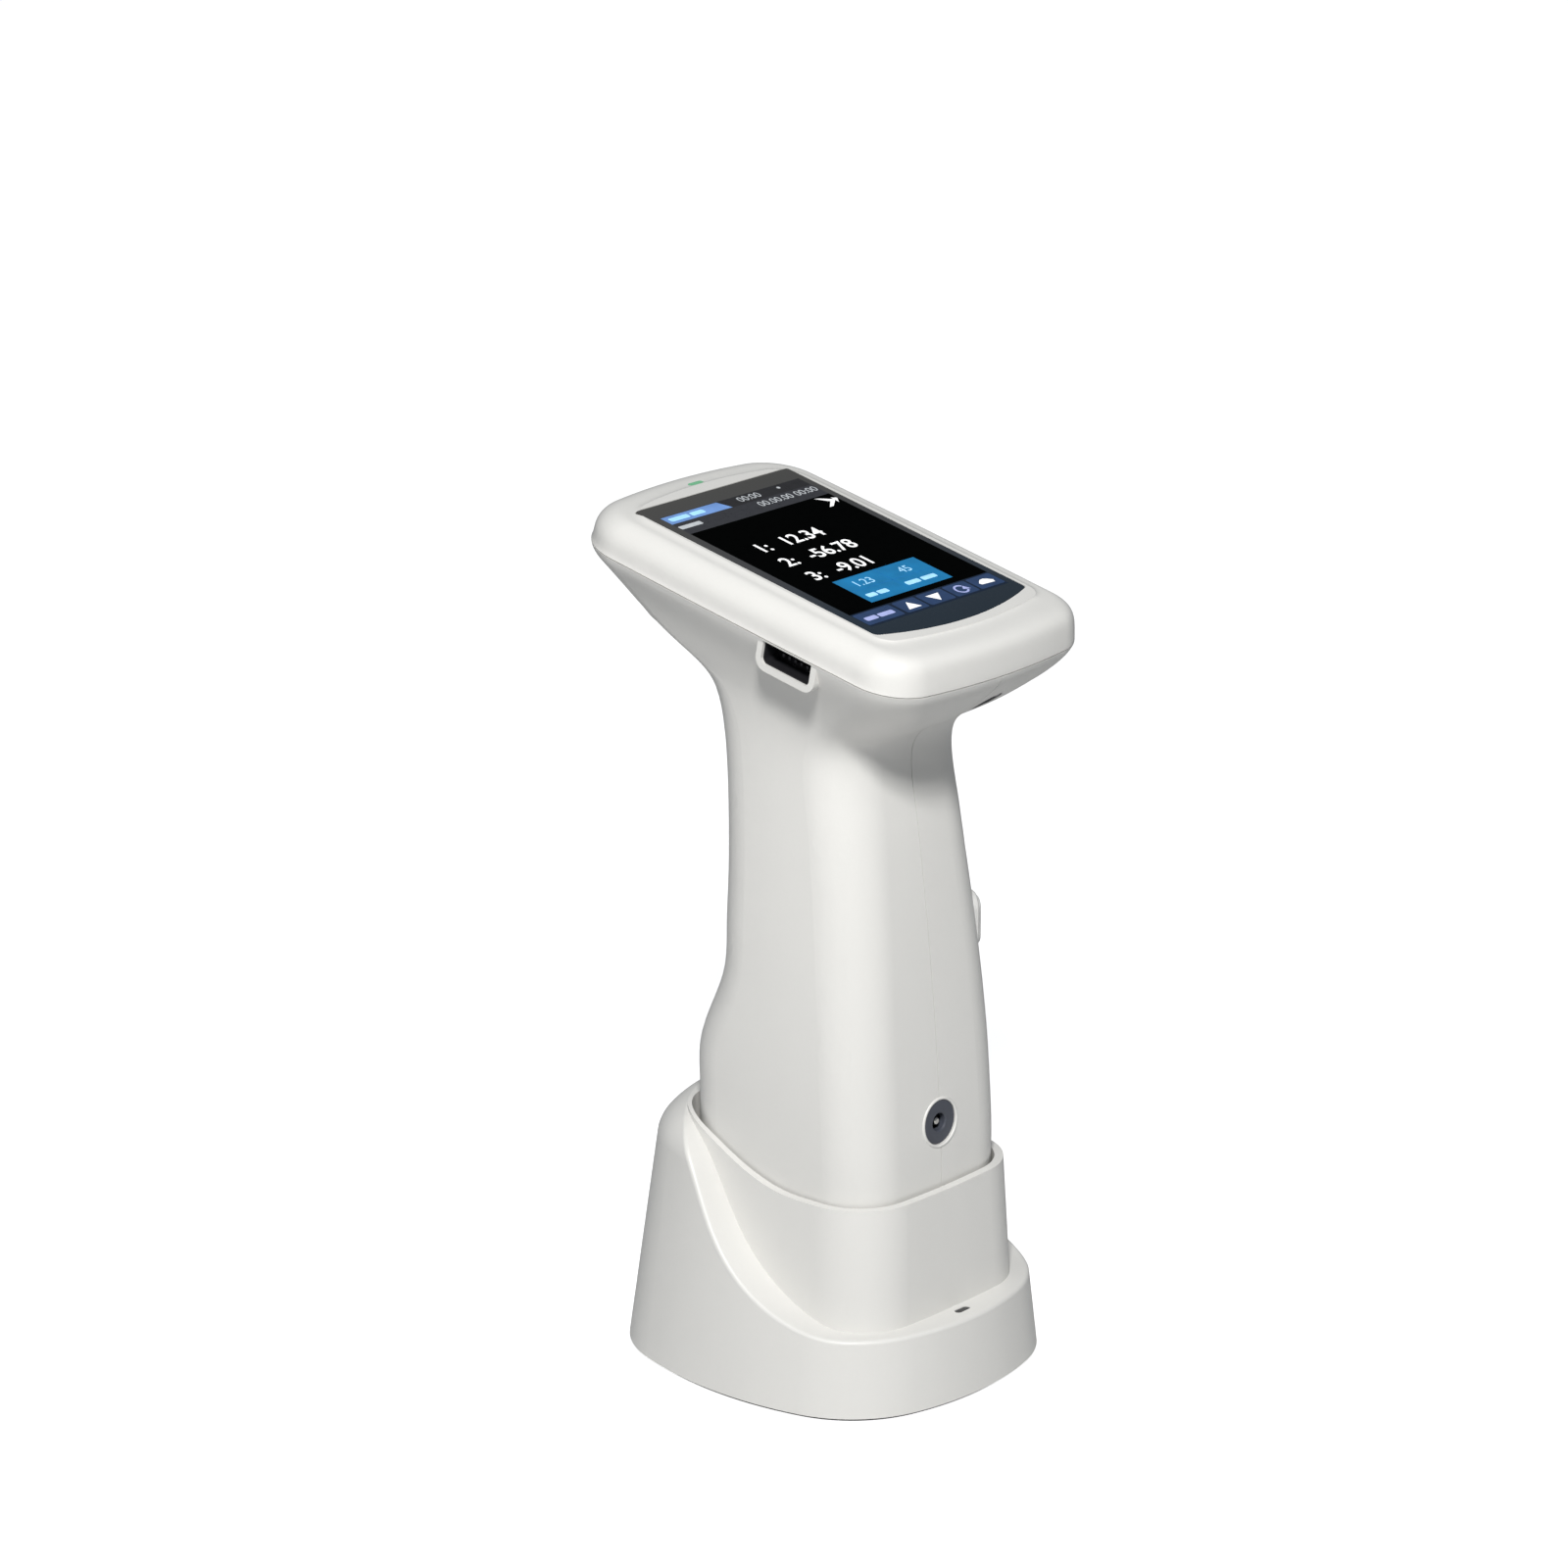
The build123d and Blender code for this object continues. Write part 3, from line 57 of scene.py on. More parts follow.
class Paint:
    """One Principled material and the small node chains that feed it."""

    def __init__(self, name, **constants):
        self.material = bpy.data.materials.new(name)
        self.material.use_nodes = True
        self.tree = self.material.node_tree
        self.tree.nodes.clear()
        self.shader = self.add("ShaderNodeBsdfPrincipled")
        output = self.add("ShaderNodeOutputMaterial")
        self.link(self.shader.outputs["BSDF"], output.inputs["Surface"])
        self.place = self.add("ShaderNodeTexCoord").outputs["Object"]
        for socket, value in constants.items():
            self.shader.inputs[socket.replace("_", " ")].default_value = value

    def add(self, kind, **settings):
        node = self.tree.nodes.new(kind)
        for key, value in settings.items():
            setattr(node, key, value)
        return node

    def link(self, start, end):
        self.tree.links.new(start, end)

    def mapped(self, stretch):
        if stretch == (1, 1, 1):
            return self.place
        mapping = self.add("ShaderNodeMapping")
        mapping.inputs["Scale"].default_value = stretch
        self.link(self.place, mapping.inputs["Vector"])
        return mapping.outputs["Vector"]

    def noise(self, size, detail=3.0, stretch=(1, 1, 1), distortion=0.0):
        """Smooth random values whose patches are about `size` metres across."""
        node = self.add("ShaderNodeTexNoise")
        node.inputs["Scale"].default_value = 1 / size
        node.inputs["Detail"].default_value = detail
        node.inputs["Distortion"].default_value = distortion
        self.link(self.mapped(stretch), node.inputs["Vector"])
        return node.outputs["Fac"]

    def cells(self, size, feature="F1"):
        node = self.add("ShaderNodeTexVoronoi", feature=feature)
        node.inputs["Scale"].default_value = 1 / size
        self.link(self.place, node.inputs["Vector"])
        return node.outputs["Distance"]

    def waves(self, size, direction="X", distortion=0.0):
        node = self.add("ShaderNodeTexWave", bands_direction=direction)
        node.inputs["Scale"].default_value = 0.314 / size
        node.inputs["Distortion"].default_value = distortion
        self.link(self.place, node.inputs["Vector"])
        return node.outputs["Fac"]

    def bricks(self, size, line):
        node = self.add("ShaderNodeTexBrick")
        node.inputs["Scale"].default_value = 1 / size
        node.inputs["Mortar Size"].default_value = line
        node.inputs["Mortar Smooth"].default_value = 0.1
        node.inputs["Color1"].default_value = (0, 0, 0, 1)
        node.inputs["Color2"].default_value = (0.35, 0.35, 0.35, 1)
        node.inputs["Mortar"].default_value = (1, 1, 1, 1)
        self.link(self.place, node.inputs["Vector"])
        return node.outputs["Color"]

    def along(self, axis, low, high):
        """0 at low and 1 at high along one axis of the frame, in metres."""
        split = self.add("ShaderNodeSeparateXYZ")
        self.link(self.place, split.inputs[0])
        return self.spread(split.outputs[axis], 0, 1, low, high)

    def spread(self, value, low, high, start=0.3, end=0.7):
        node = self.add("ShaderNodeMapRange")
        node.inputs["From Min"].default_value = start
        node.inputs["From Max"].default_value = end
        node.inputs["To Min"].default_value = low
        node.inputs["To Max"].default_value = high
        self.link(value, node.inputs["Value"])
        return node.outputs["Result"]

    def ramp(self, value, *stops):
        """Colours along a value: each stop is (where, (r, g, b))."""
        node = self.add("ShaderNodeValToRGB")
        while len(node.color_ramp.elements) < len(stops):
            node.color_ramp.elements.new(0.5)
        for element, (where, colour) in zip(node.color_ramp.elements, stops):
            element.position = where
            element.color = (*colour, 1)
        self.link(value, node.inputs["Fac"])
        return node.outputs["Color"]

    def mix(self, amount, first, second):
        node = self.add("ShaderNodeMix", data_type="RGBA")
        for value, socket in ((amount, 0), (first, 6), (second, 7)):
            if isinstance(value, (int, float)):
                node.inputs[socket].default_value = value
            elif isinstance(value, tuple):
                node.inputs[socket].default_value = (*value, 1)
            else:
                self.link(value, node.inputs[socket])
        return node.outputs[2]

    def colour(self, value):
        self.link(value, self.shader.inputs["Base Color"])
        return self

    def rough(self, value, low, high):
        self.link(self.spread(value, low, high), self.shader.inputs["Roughness"])
        return self

    def bump(self, value, depth):
        node = self.add("ShaderNodeBump")
        node.inputs["Strength"].default_value = 1.0
        node.inputs["Distance"].default_value = depth
        self.link(value, node.inputs["Height"])
        before = self.shader.inputs["Normal"].links
        if before:
            self.link(before[0].from_socket, node.inputs["Normal"])
        self.link(node.outputs["Normal"], self.shader.inputs["Normal"])
        return self

    def emit(self, value, strength):
        self.link(value, self.shader.inputs["Emission Color"])
        self.shader.inputs["Emission Strength"].default_value = strength
        return self


def tinted(colour, factor):
    return tuple(min(1.0, channel * factor) for channel in colour)


def moulded(name, colour, rough, vary=0.03, grain=0.35 * MM, depth=0.012 * MM, **constants):
    """Injection-moulded plastic: spark-eroded grain, faint flow marks, a little handling polish."""
    paint = Paint(name, **constants)
    flow = paint.noise(22 * MM, 4, (1, 1, 0.35), 0.6)
    specks = paint.noise(grain * 3, 2)
    base = paint.ramp(flow, (0.3, tinted(colour, 1 - vary)), (0.7, tinted(colour, 1 + vary)))
    base = paint.mix(paint.spread(specks, 0, 0.05), base, tinted(colour, 0.8))
    handled = paint.noise(35 * MM, 5)
    paint.colour(base).rough(handled, *rough)
    paint.bump(paint.noise(grain, 2), depth)
    return paint.material


def metal(name, colour, rough, stretch=(1, 1, 1), tarnish=0.12, depth=0.003 * MM, **constants):
    """Drawn or turned metal: fine tool lines and a faint tarnish."""
    paint = Paint(name, Metallic=1.0, **constants)
    lines = paint.noise(0.25 * MM, 3, stretch)
    stain = paint.noise(4 * MM, 5, distortion=0.8)
    paint.colour(paint.ramp(stain, (0.35, tinted(colour, 1 - tarnish)), (0.7, colour)))
    paint.rough(lines, *rough)
    paint.bump(lines, depth)
    return paint.material


def light_shell(name):
    """The satin off-white case: warm white pigment, fine grain, and polish from handling."""
    paint = Paint(name, Specular_IOR_Level=0.5, Coat_Weight=0.06, Coat_Roughness=0.25)
    warm = (0.735, 0.726, 0.700)
    flow = paint.noise(30 * MM, 4, (1, 1, 0.3), 0.5)
    base = paint.ramp(flow, (0.3, tinted(warm, 0.978)), (0.7, tinted(warm, 1.015)))
    specks = paint.noise(0.9 * MM, 3)
    base = paint.mix(paint.spread(specks, 0, 0.045), base, (0.60, 0.59, 0.57))
    paint.colour(base).rough(paint.noise(26 * MM, 6), 0.36, 0.46)
    paint.bump(paint.noise(0.42 * MM, 2), 0.010 * MM)
    paint.bump(paint.noise(9 * MM, 2), 0.02 * MM)
    return paint.material


def screen_cover(name):
    """Back-printed cover glass, navy at the bowed lower edge, with a painted reflection that turns
    it warm dark grey towards the top.
    """
    lo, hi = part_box("cover_glass")
    paint = Paint(name, Specular_IOR_Level=0.25)
    # Painted reflection: the base colour lightens from navy to warm dark grey towards the glass's
    # upper edge.
    painted_reflection_along = paint.along("Y", lo.y, hi.y)
    base = paint.ramp(
        painted_reflection_along,
        (0.0, (0.008, 0.017, 0.028)),
        (0.16, (0.011, 0.021, 0.034)),
        (0.5, (0.045, 0.046, 0.050)),
        (1.0, (0.062, 0.060, 0.056)),
    )
    dust = paint.noise(0.5 * MM, 2)
    paint.colour(paint.mix(paint.spread(dust, 0, 0.06, 0.5, 0.8), base, (0.12, 0.12, 0.12)))
    paint.rough(paint.noise(14 * MM, 6, distortion=1.0), 0.04, 0.13)
    return paint.material


def board(name):
    """Solder mask over copper tracks."""
    paint = Paint(name, Coat_Weight=0.4, Coat_Roughness=0.2)
    tracks = paint.bricks(2.2 * MM, 0.06)
    base = paint.ramp(tracks, (0.0, (0.008, 0.085, 0.035)), (0.6, (0.02, 0.17, 0.06)))
    paint.colour(paint.mix(paint.spread(paint.noise(3 * MM, 4), 0, 0.25), base, (0.01, 0.06, 0.03)))
    paint.rough(paint.noise(2 * MM, 4), 0.28, 0.5)
    paint.bump(tracks, 0.03 * MM)
    return paint.material


def wrap(name):
    """Heat-shrunk battery sleeve with soft wrinkles."""
    paint = Paint(name, Coat_Weight=0.3, Coat_Roughness=0.15)
    wrinkles = paint.noise(6 * MM, 4, (1, 1, 0.4), 1.2)
    base = paint.ramp(wrinkles, (0.35, (0.02, 0.10, 0.33)), (0.7, (0.03, 0.15, 0.42)))
    paint.colour(base).rough(paint.noise(1 * MM, 2), 0.25, 0.4)
    paint.bump(wrinkles, 0.15 * MM)
    return paint.material


def clear(name, colour, rough, roughness_patch=3 * MM, **constants):
    """Clear or tinted glass and light pipes."""
    paint = Paint(name, IOR=1.5, **constants)
    haze = paint.noise(roughness_patch, 4)
    paint.colour(paint.ramp(haze, (0.3, tinted(colour, 0.9)), (0.7, colour)))
    paint.rough(haze, *rough)
    paint.bump(paint.noise(1.2 * MM, 2), 0.004 * MM)
    return paint.material


def coating(name):
    """Chalky diffuse white sprayed inside the measuring sphere."""
    paint = Paint(name, Specular_IOR_Level=0.2)
    spray = paint.noise(0.6 * MM, 4)
    paint.colour(paint.ramp(spray, (0.3, (0.84, 0.84, 0.83)), (0.7, (0.92, 0.92, 0.91))))
    paint.rough(spray, 0.8, 0.95)
    paint.bump(spray, 0.05 * MM)
    return paint.material


def rubber(name):
    paint = Paint(name, Specular_IOR_Level=0.3)
    bloom = paint.noise(5 * MM, 5)
    paint.colour(paint.ramp(bloom, (0.3, (0.022, 0.022, 0.024)), (0.7, (0.045, 0.045, 0.048))))
    paint.rough(bloom, 0.6, 0.82)
    paint.bump(paint.cells(0.5 * MM), 0.05 * MM)
    return paint.material


def glazed(name):
    """White calibration ceramic under a thin glaze."""
    paint = Paint(name, Coat_Weight=1.0, Coat_Roughness=0.05)
    fired = paint.noise(5 * MM, 4)
    paint.colour(paint.ramp(fired, (0.3, (0.83, 0.83, 0.81)), (0.7, (0.88, 0.88, 0.87))))
    paint.rough(fired, 0.2, 0.3)
    paint.bump(paint.noise(2 * MM, 2), 0.01 * MM)
    return paint.material


def film(name):
    """Polyimide flex film with copper lines under it."""
    paint = Paint(name, Coat_Weight=0.3, Coat_Roughness=0.2)
    lines = paint.waves(0.8 * MM, "X")
    base = paint.ramp(lines, (0.3, (0.36, 0.14, 0.02)), (0.7, (0.52, 0.26, 0.06)))
    paint.colour(base).rough(paint.noise(2 * MM, 3), 0.25, 0.4)
    paint.bump(lines, 0.02 * MM)
    return paint.material


def glowing(name, colour, strength, rough=(0.25, 0.4), patch=1.5 * MM, vary=0.12, specular=0.06):
    """Something lit from behind the glass, with the slight unevenness of a backlight."""
    paint = Paint(name, Specular_IOR_Level=specular)
    uneven = paint.noise(patch, 3)
    base = paint.ramp(uneven, (0.3, tinted(colour, 1 - vary)), (0.7, tinted(colour, 1 + vary)))
    paint.colour(base).rough(uneven, *rough)
    paint.emit(base, strength)
    return paint.material


FINISHES = {
    "shell_plastic": light_shell("satin_shell"),
    "soft_grey_plastic": moulded("soft_grey", (0.60, 0.60, 0.585), (0.42, 0.55)),
    "slate_plastic": moulded("slate_moulding", (0.060, 0.066, 0.085), (0.34, 0.48), 0.10),
    "black_plastic": moulded("black_moulding", (0.012, 0.012, 0.014), (0.38, 0.55), 0.2),
    "screen_glass": screen_cover("printed_glass_painted_reflection"),
    "lcd_panel": moulded("display_panel", (0.02, 0.02, 0.024), (0.2, 0.3), 0.15, depth=0.004 * MM),
    "amber_film": film("flex_film"),
    "green_light_pipe": glowing("green_pipe", (0.16, 0.42, 0.24), 0.12, (0.3, 0.45), 2 * MM),
    "circuit_board": board("solder_mask"),
    "tin_plate": metal("tinned_steel", (0.62, 0.63, 0.64), (0.25, 0.4), (1, 8, 1)),
    "gold_contact": metal("gold_flash", (0.83, 0.60, 0.24), (0.2, 0.32)),
    "nickel_pin": metal("bright_nickel", (0.80, 0.78, 0.74), (0.10, 0.2), (8, 1, 8)),
    "battery_wrap": wrap("shrink_sleeve"),
    "sphere_coating": coating("white_diffuser"),
    "lamp_lens": clear("lamp_epoxy", (0.86, 0.88, 0.80), (0.1, 0.22), Transmission_Weight=0.6),
    "black_anodised": moulded("black_anodise", (0.018, 0.018, 0.02), (0.3, 0.42), 0.2, 0.2 * MM),
    "lens_glass": clear("optical_glass", (0.90, 0.93, 0.95), (0.02, 0.05), Transmission_Weight=0.9),
    "mirror_coat": metal("mirror_coating", (0.90, 0.91, 0.92), (0.02, 0.06), tarnish=0.03, depth=0),
    "steel_screw": metal("screw_steel", (0.50, 0.50, 0.51), (0.22, 0.38), (1, 1, 6)),
    "dark_rubber": rubber("moulded_rubber"),
    "smoke_window": clear("smoked_window", (0.030, 0.030, 0.032), (0.08, 0.18)),
    "ceramic_tile": glazed("white_ceramic"),
}

for node in nodes.values():
    named = node.data.materials[0].name.split(".")[0]
    node.data.materials[0] = FINISHES[named]

# ---------------------------------------------------------------- the screen's face

glass = nodes["cover_glass"]
face = max(glass.data.polygons, key=lambda polygon: polygon.area * max(0.0, polygon.normal.z))
NORMAL = face.normal.normalized()
ACROSS = Vector((1, 0, 0))
UP = NORMAL.cross(ACROSS).normalized()
glass_points = [vertex.co for vertex in glass.data.vertices]
glass_level = max(point.dot(NORMAL) for point in glass_points)
glass_top = max(point.dot(UP) for point in glass_points)
GLASS_UPPER_HALF = 40.75 * MM  # from the middle of the display to the glass's straight upper edge
SCREEN_ORIGIN = NORMAL * glass_level + UP * (glass_top - GLASS_UPPER_HALF)
FILM = 0.012 * MM  # thickness of one lit layer


def on_screen(u, v, layer=0.0):
    """A point on the display, from its middle, in millimetres; layers stack outward."""
    return SCREEN_ORIGIN + ACROSS * (u * MM) + UP * (v * MM) + NORMAL * (layer * FILM)


def make_piece(name, mesh_data, material, body):
    piece = bpy.data.objects.new(name, mesh_data)
    bpy.context.scene.collection.objects.link(piece)
    mesh_data.materials.clear()
    mesh_data.materials.append(material)
    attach(piece, body)
    return piece


def add_outline(mesh, outline, layer):
    """A closed outline on the display, one film thick."""
    low = [mesh.verts.new(on_screen(u, v, layer)) for u, v in outline]
    high = [mesh.verts.new(on_screen(u, v, layer + 1)) for u, v in outline]
    mesh.faces.new(list(reversed(low)))
    mesh.faces.new(high)
    for index in range(len(outline)):
        following = (index + 1) % len(outline)
        mesh.faces.new((low[index], low[following], high[following], high[index]))


def add_digits(mesh, text, u, v, size, layer, align="LEFT", weight=0.0):
    """Plain numerals as thin solids, standing on the display."""
    curve = bpy.data.curves.new("numerals", "FONT")
    curve.body = text
    curve.size = size * MM
    curve.align_x = align
    curve.extrude = FILM / 2
    curve.offset = weight * MM
    holder = bpy.data.objects.new("numerals", curve)
    bpy.context.scene.collection.objects.link(holder)
    bpy.context.view_layer.update()
    depsgraph = bpy.context.evaluated_depsgraph_get()
    flat = bpy.data.meshes.new_from_object(holder.evaluated_get(depsgraph))
    turn = Matrix((ACROSS, UP, NORMAL)).transposed().to_4x4()
    flat.transform(Matrix.Translation(on_screen(u, v, layer + 0.5)) @ turn)
    mesh.from_mesh(flat)
    bpy.data.objects.remove(holder)
    bpy.data.curves.remove(curve)
    bpy.data.meshes.remove(flat)


def display_piece(name, material, outlines=(), digits=(), layer=0.0, weight=0.0):
    mesh = bmesh.new()
    for outline in outlines:
        add_outline(mesh, outline, layer)
    for text, u, v, size, align in digits:
        add_digits(mesh, text, u, v, size, layer, align, weight)
    bmesh.ops.remove_doubles(mesh, verts=mesh.verts, dist=1e-8)
    bmesh.ops.recalc_face_normals(mesh, faces=mesh.faces)
    data = bpy.data.meshes.new(name)
    mesh.to_mesh(data)
    mesh.free()
    return make_piece(name, data, material, "instrument")


def rectangle(left, right, low, high, radius=0.0, steps=5):
    if radius == 0:
        return [(left, low), (right, low), (right, high), (left, high)]
    corners = ((right, low, -90), (right, high, 0), (left, high, 90), (left, low, 180))
    outline = []
    for x, y, start in corners:
        centre_x = x - math.copysign(radius, x - (left + right) / 2)
        centre_y = y - math.copysign(radius, y - (low + high) / 2)
        for step in range(steps + 1):
            angle = math.radians(start + 90 * step / steps)
            point = (centre_x + radius * math.cos(angle), centre_y + radius * math.sin(angle))
            outline.append(point)
    return outline


def disc(x, y, radius, steps=20):
    angles = [2 * math.pi * step / steps for step in range(steps)]
    return [(x + radius * math.cos(a), y + radius * math.sin(a)) for a in angles]


def arc_band(x, y, radius, width, start, end, steps=16):
    """Part of a ring as a row of small quadrilaterals."""
    quads = []
    for step in range(steps):
        a = math.radians(start + (end - start) * step / steps)
        b = math.radians(start + (end - start) * (step + 1) / steps)
        inner, outer = radius - width / 2, radius + width / 2
        quads.append(
            [
                (x + inner * math.cos(a), y + inner * math.sin(a)),
                (x + outer * math.cos(a), y + outer * math.sin(a)),
                (x + outer * math.cos(b), y + outer * math.sin(b)),
                (x + inner * math.cos(b), y + inner * math.sin(b)),
            ]
        )
    return quads


FIELD = (-25.3, 25.6)  # left and right edges of the lit area
BAR_TOP = 34.6
BAR_LOW = 30.2
INFO_LOW = 24.0
KEYS_TOP = -29.8
KEYS_LOW = -37.0

black_field = glowing("lit_black", (0.0012, 0.0014, 0.0014), 0.2, specular=0.0)
status_grey = glowing("lit_dark_grey", (0.020, 0.020, 0.022), 0.3)
info_grey = glowing("lit_info_grey", (0.030, 0.031, 0.036), 0.3)
tab_blue = glowing("lit_tab_blue", (0.13, 0.24, 0.50), 0.35, patch=5 * MM)
panel_blue = glowing("lit_panel_blue", (0.010, 0.135, 0.30), 0.45, patch=6 * MM)
panel_line = glowing("lit_panel_line", (0.010, 0.13, 0.34), 0.4)
key_navy = glowing("lit_key_navy", (0.020, 0.040, 0.095), 0.4, patch=4 * MM)
strip_navy = glowing("lit_strip_navy", (0.007, 0.014, 0.030), 0.3)
white_ink = glowing("lit_white", (0.80, 0.80, 0.80), 0.45, vary=0.06)
pale_ink = glowing("lit_pale", (0.42, 0.44, 0.46), 0.35, vary=0.08)
blue_ink = glowing("lit_pale_blue", (0.33, 0.62, 0.85), 0.4, vary=0.08)
lilac_ink = glowing("lit_lilac", (0.32, 0.36, 0.62), 0.35, vary=0.08)

display_piece("display_field", black_field, [rectangle(*FIELD, KEYS_TOP, INFO_LOW)])
display_piece("display_status_bar", status_grey, [rectangle(*FIELD, BAR_LOW, BAR_TOP)])
display_piece("display_info_bar", info_grey, [rectangle(*FIELD, INFO_LOW, BAR_LOW)])
display_piece("display_key_strip", strip_navy, [rectangle(*FIELD, KEYS_LOW, KEYS_TOP)])

tab = [(-25.3, 30.3), (-3.4, 30.3), (-5.2, 34.4), (-25.3, 34.4)]
display_piece("display_tab", tab_blue, [tab], layer=1)

display_piece(
    "display_status_marks",
    pale_ink,
    [disc(16.4, 33.0, 0.55, 12), rectangle(-25.2, -17.4, 26.9, 28.6, 0.4)],
    [
        ("00:00", 1.0, 31.4, 3.6, "LEFT"),
        ("00.00.00 00:00", 25.2, 26.8, 3.6, "RIGHT"),
    ],
    layer=2,
)
display_piece(
    "display_tab_marks",
    blue_ink,
    [rectangle(-24.0, -17.2, 31.5, 33.3, 0.5), rectangle(-16.4, -11.6, 31.5, 33.3, 0.5)],
    layer=2,
)

ROWS = ((9.1, "1:", "12.34"), (0.0, "2:", "-56.78"), (-9.1, "3:", "-9.01"))
row_digits = [(label, -17.4, v - 2.3, 6.6, "LEFT") for v, label, value in ROWS]
row_digits += [(value, -8.2, v - 2.3, 6.6, "LEFT") for v, label, value in ROWS]
display_piece("display_values", white_ink, [], row_digits, layer=1, weight=0.10)

arrow = [
    [(19.4, 23.4), (20.9, 22.9), (24.4, 20.6), (22.2, 20.3)],
    [(22.2, 20.3), (24.4, 20.6), (20.9, 17.9), (19.4, 17.9)],
    [(24.0, 21.9), (25.4, 21.2), (25.4, 20.8), (24.0, 19.0)],
]
display_piece("display_arrow", white_ink, arrow, layer=2)

PANEL = (-14.6, 15.4, -27.4, -14.1)
MIDDLE = ((PANEL[0] + PANEL[1]) / 2, (PANEL[2] + PANEL[3]) / 2)
display_piece("display_panel", panel_blue, [rectangle(*PANEL)], layer=1)
panel_lines = [
    rectangle(MIDDLE[0] - 0.12, MIDDLE[0] + 0.12, PANEL[2], PANEL[3]),
    rectangle(PANEL[0], PANEL[1], MIDDLE[1] - 0.12, MIDDLE[1] + 0.12),
]
display_piece("display_panel_lines", panel_line, panel_lines, layer=2)
panel_bars = [
    rectangle(-12.8, -9.4, -25.1, -23.3, 0.5),
    rectangle(-8.8, -5.2, -25.1, -23.3, 0.5),
    rectangle(1.6, 6.6, -25.1, -23.3, 0.5),
    rectangle(7.4, 12.6, -25.1, -23.3, 0.5),
]
panel_digits = [("1.23", -7.3, -19.3, 4.2, "CENTER"), ("45", 7.9, -19.3, 4.2, "CENTER")]
display_piece("display_panel_marks", blue_ink, panel_bars, panel_digits, layer=3)

KEY_EDGES = ((-25.1, -11.9), (-10.9, -2.9), (-2.1, 7.0), (7.7, 15.9), (16.6, 25.4))
keys = [rectangle(left, right, -36.2, -30.3, 0.6) for left, right in KEY_EDGES]
display_piece("display_keys", key_navy, keys, layer=1)
centres = [(left + right) / 2 for left, right in KEY_EDGES]
icon_v = -33.4
up_x, down_x, turn_x, cloud_x = centres[1:]
icons = [
    [(up_x - 2.3, icon_v - 1.6), (up_x + 2.3, icon_v - 1.6), (up_x, icon_v + 1.8)],
    [(down_x - 2.3, icon_v + 1.6), (down_x, icon_v - 1.8), (down_x + 2.3, icon_v + 1.6)],
]
display_piece("display_key_arrows", white_ink, icons, layer=2)
cloud = [
    (cloud_x - 2.2, icon_v - 0.9),
    (cloud_x + 2.2, icon_v - 1.2),
    (cloud_x + 2.6, icon_v - 0.2),
    (cloud_x + 1.5, icon_v + 0.8),
    (cloud_x + 0.4, icon_v + 1.4),
    (cloud_x - 0.9, icon_v + 1.3),
    (cloud_x - 1.8, icon_v + 0.6),
    (cloud_x - 2.6, icon_v - 0.1),
]
display_piece("display_key_cloud", white_ink, [cloud], layer=2)
turn = arc_band(turn_x, icon_v, 1.8, 0.6, 40, 330)
tip = ((0.4, -0.3), (2.6, -0.9), (1.6, 1.2))
turn.append([(turn_x + u, icon_v + v) for u, v in tip])
display_piece("display_key_turn", lilac_ink, turn, layer=2)
word = [
    rectangle(-23.6, -19.4, -34.4, -32.6, 0.5),
    rectangle(-18.8, -13.4, -34.4, -32.6, 0.5),
]
display_piece("display_key_word", lilac_ink, word, layer=2)

# ---------------------------------------------------------------- the jack's raised rim

dull_contact = metal("dull_contact", (0.16, 0.16, 0.17), (0.3, 0.45))
nodes["io_pins"].data.materials[0] = dull_contact

bezel_lo, bezel_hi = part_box("dc_jack_bezel")
RIM_TUBE = 0.42 * MM
RIM_OVERHANG = 0.32 * MM  # of the ring's middle, past the bezel's edge
RIM_PROUD = 0.12 * MM
RIM_TURNS = 72
RIM_SIDES = 10
rim_radius = (bezel_hi.x - bezel_lo.x) / 2 + RIM_OVERHANG
rim_y = bezel_lo.y - RIM_PROUD
rim_z = (bezel_lo.z + bezel_hi.z) / 2
RIM_LEAN = 0.06  # the grip's front leans back by this much per millimetre of height
rim_mesh = bmesh.new()
rings = []
for turn_index in range(RIM_TURNS):
    around = 2 * math.pi * turn_index / RIM_TURNS
    ring = []
    for side_index in range(RIM_SIDES):
        about = 2 * math.pi * side_index / RIM_SIDES
        reach = rim_radius + RIM_TUBE * math.cos(about)
        height = reach * math.sin(around)
        depth = rim_y + RIM_LEAN * height - RIM_TUBE * math.sin(about)
        ring.append(rim_mesh.verts.new((reach * math.cos(around), depth, rim_z + height)))
    rings.append(ring)
for index, ring in enumerate(rings):
    following = rings[(index + 1) % RIM_TURNS]
    for side_index in range(RIM_SIDES):
        next_side = (side_index + 1) % RIM_SIDES
        corners = (ring[side_index], following[side_index], following[next_side], ring[next_side])
        rim_mesh.faces.new(corners).smooth = True
bmesh.ops.recalc_face_normals(rim_mesh, faces=rim_mesh.faces)
rim_data = bpy.data.meshes.new("dc_jack_rim")
rim_mesh.to_mesh(rim_data)
rim_mesh.free()
make_piece("dc_jack_rim", rim_data, FINISHES["shell_plastic"], "instrument")

# ---------------------------------------------------------------- floor, light and camera

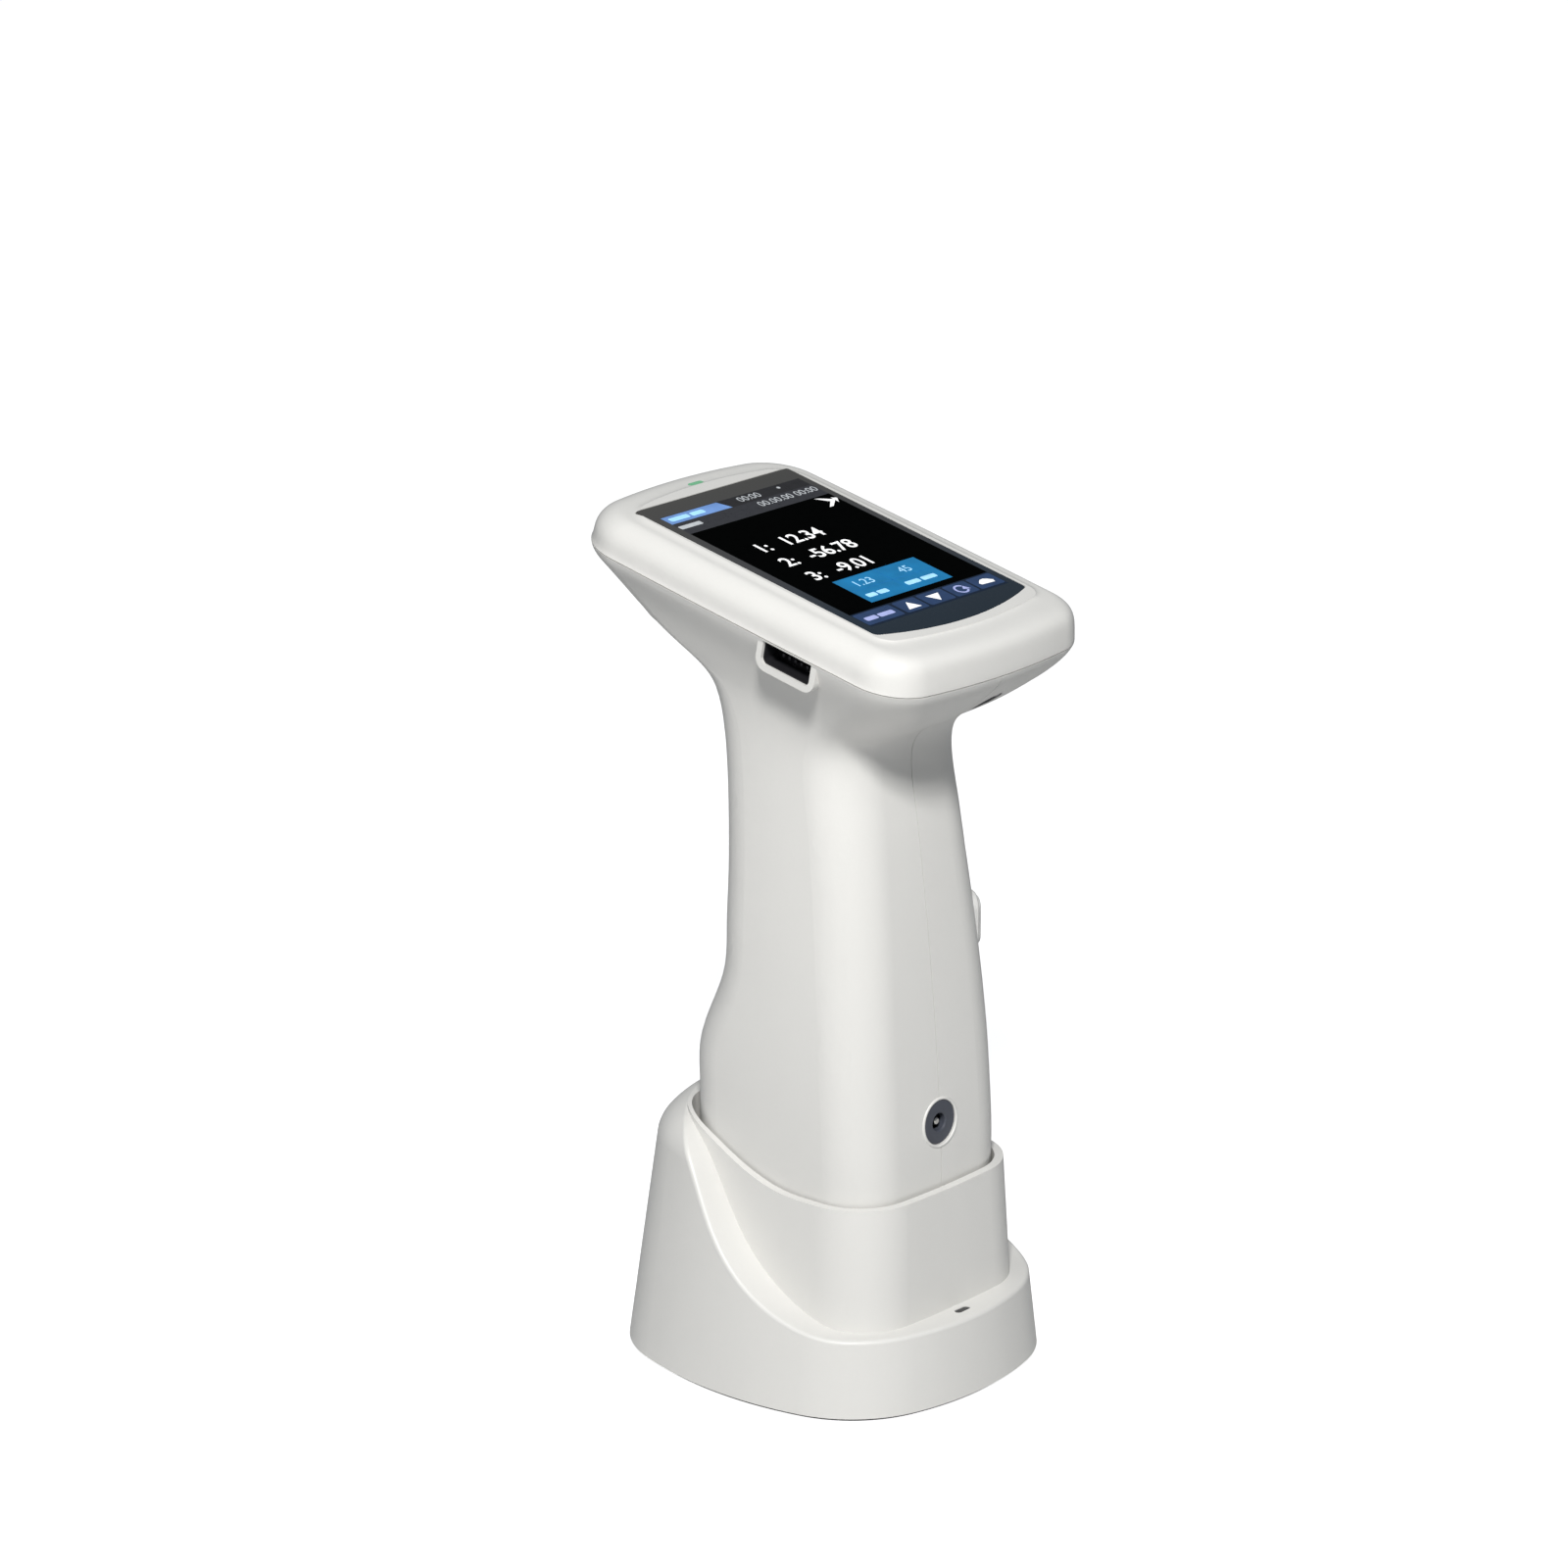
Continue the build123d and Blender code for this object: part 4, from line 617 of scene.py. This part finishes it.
floor_mesh = bpy.data.meshes.new("floor")
FLOOR_REACH = 9.0
FLOOR_CLEARANCE = 0.02 * MM
floor_z = cad_lo.z - FLOOR_CLEARANCE
corner_signs = ((-1, -1), (1, -1), (1, 1), (-1, 1))
floor_corners = [(x * FLOOR_REACH, y * FLOOR_REACH, floor_z) for x, y in corner_signs]
floor_mesh.from_pydata(floor_corners, [], [(0, 1, 2, 3)])
floor = bpy.data.objects.new("floor", floor_mesh)
bpy.context.scene.collection.objects.link(floor)
floor_paint = Paint("pale_floor", Roughness=0.9, Specular_IOR_Level=0.1)
floor_tone = floor_paint.ramp(
    floor_paint.noise(0.4, 3), (0.3, (0.55, 0.55, 0.55)), (0.7, (0.57, 0.57, 0.57))
)
# The backdrop is overexposed white to the eye, and a plain mid grey to the light it returns.
floor_paint.colour(floor_tone).emit(floor_tone, 1.0)
BACKDROP_GLOW = 1.6
seen = floor_paint.add("ShaderNodeLightPath").outputs["Is Camera Ray"]
glow = floor_paint.spread(seen, 0, BACKDROP_GLOW, 0, 1)
floor_paint.link(glow, floor_paint.shader.inputs["Emission Strength"])
floor_mesh.materials.append(floor_paint.material)

scene = bpy.context.scene
scene.view_settings.view_transform = "Standard"
scene.view_settings.look = "None"

world = bpy.data.worlds.new("studio")
world.use_nodes = True
sky = world.node_tree.nodes["Background"]
sky.inputs["Color"].default_value = (0.86, 0.93, 1.0, 1)
sky.inputs["Strength"].default_value = 0.20
scene.world = world

middle = (cad_lo + cad_hi) / 2


def softbox(name, place, size, power, colour=(1, 1, 1)):
    lamp = bpy.data.lights.new(name, "AREA")
    lamp.shape = "RECTANGLE"
    lamp.size, lamp.size_y = size
    lamp.energy = power
    lamp.color = colour
    holder = bpy.data.objects.new(name, lamp)
    bpy.context.scene.collection.objects.link(holder)
    holder.location = middle + Vector(place)
    direction = middle - holder.location
    holder.rotation_euler = direction.to_track_quat("-Z", "Y").to_euler()


softbox("key_softbox", (-0.67, -0.575, 0.83), (0.16, 0.16), 15.0, (1.0, 0.993, 0.98))
softbox("left_fill", (-0.60, 0.75, 0.35), (0.6, 0.8), 0.3)

CAMERA_PLACE = (-1.0179, -0.9156, 0.6065)
CAMERA_TILT = math.radians(71.6)
CAMERA_TURN = math.radians(-47.5)
camera_data = bpy.data.cameras.new("camera")
camera_data.lens = 132.2
camera_data.sensor_width = 36
camera_data.clip_start = 0.05
camera_data.clip_end = 50
camera = bpy.data.objects.new("camera", camera_data)
bpy.context.scene.collection.objects.link(camera)
camera.location = CAMERA_PLACE
camera.rotation_euler = (CAMERA_TILT, 0, CAMERA_TURN)
scene.camera = camera
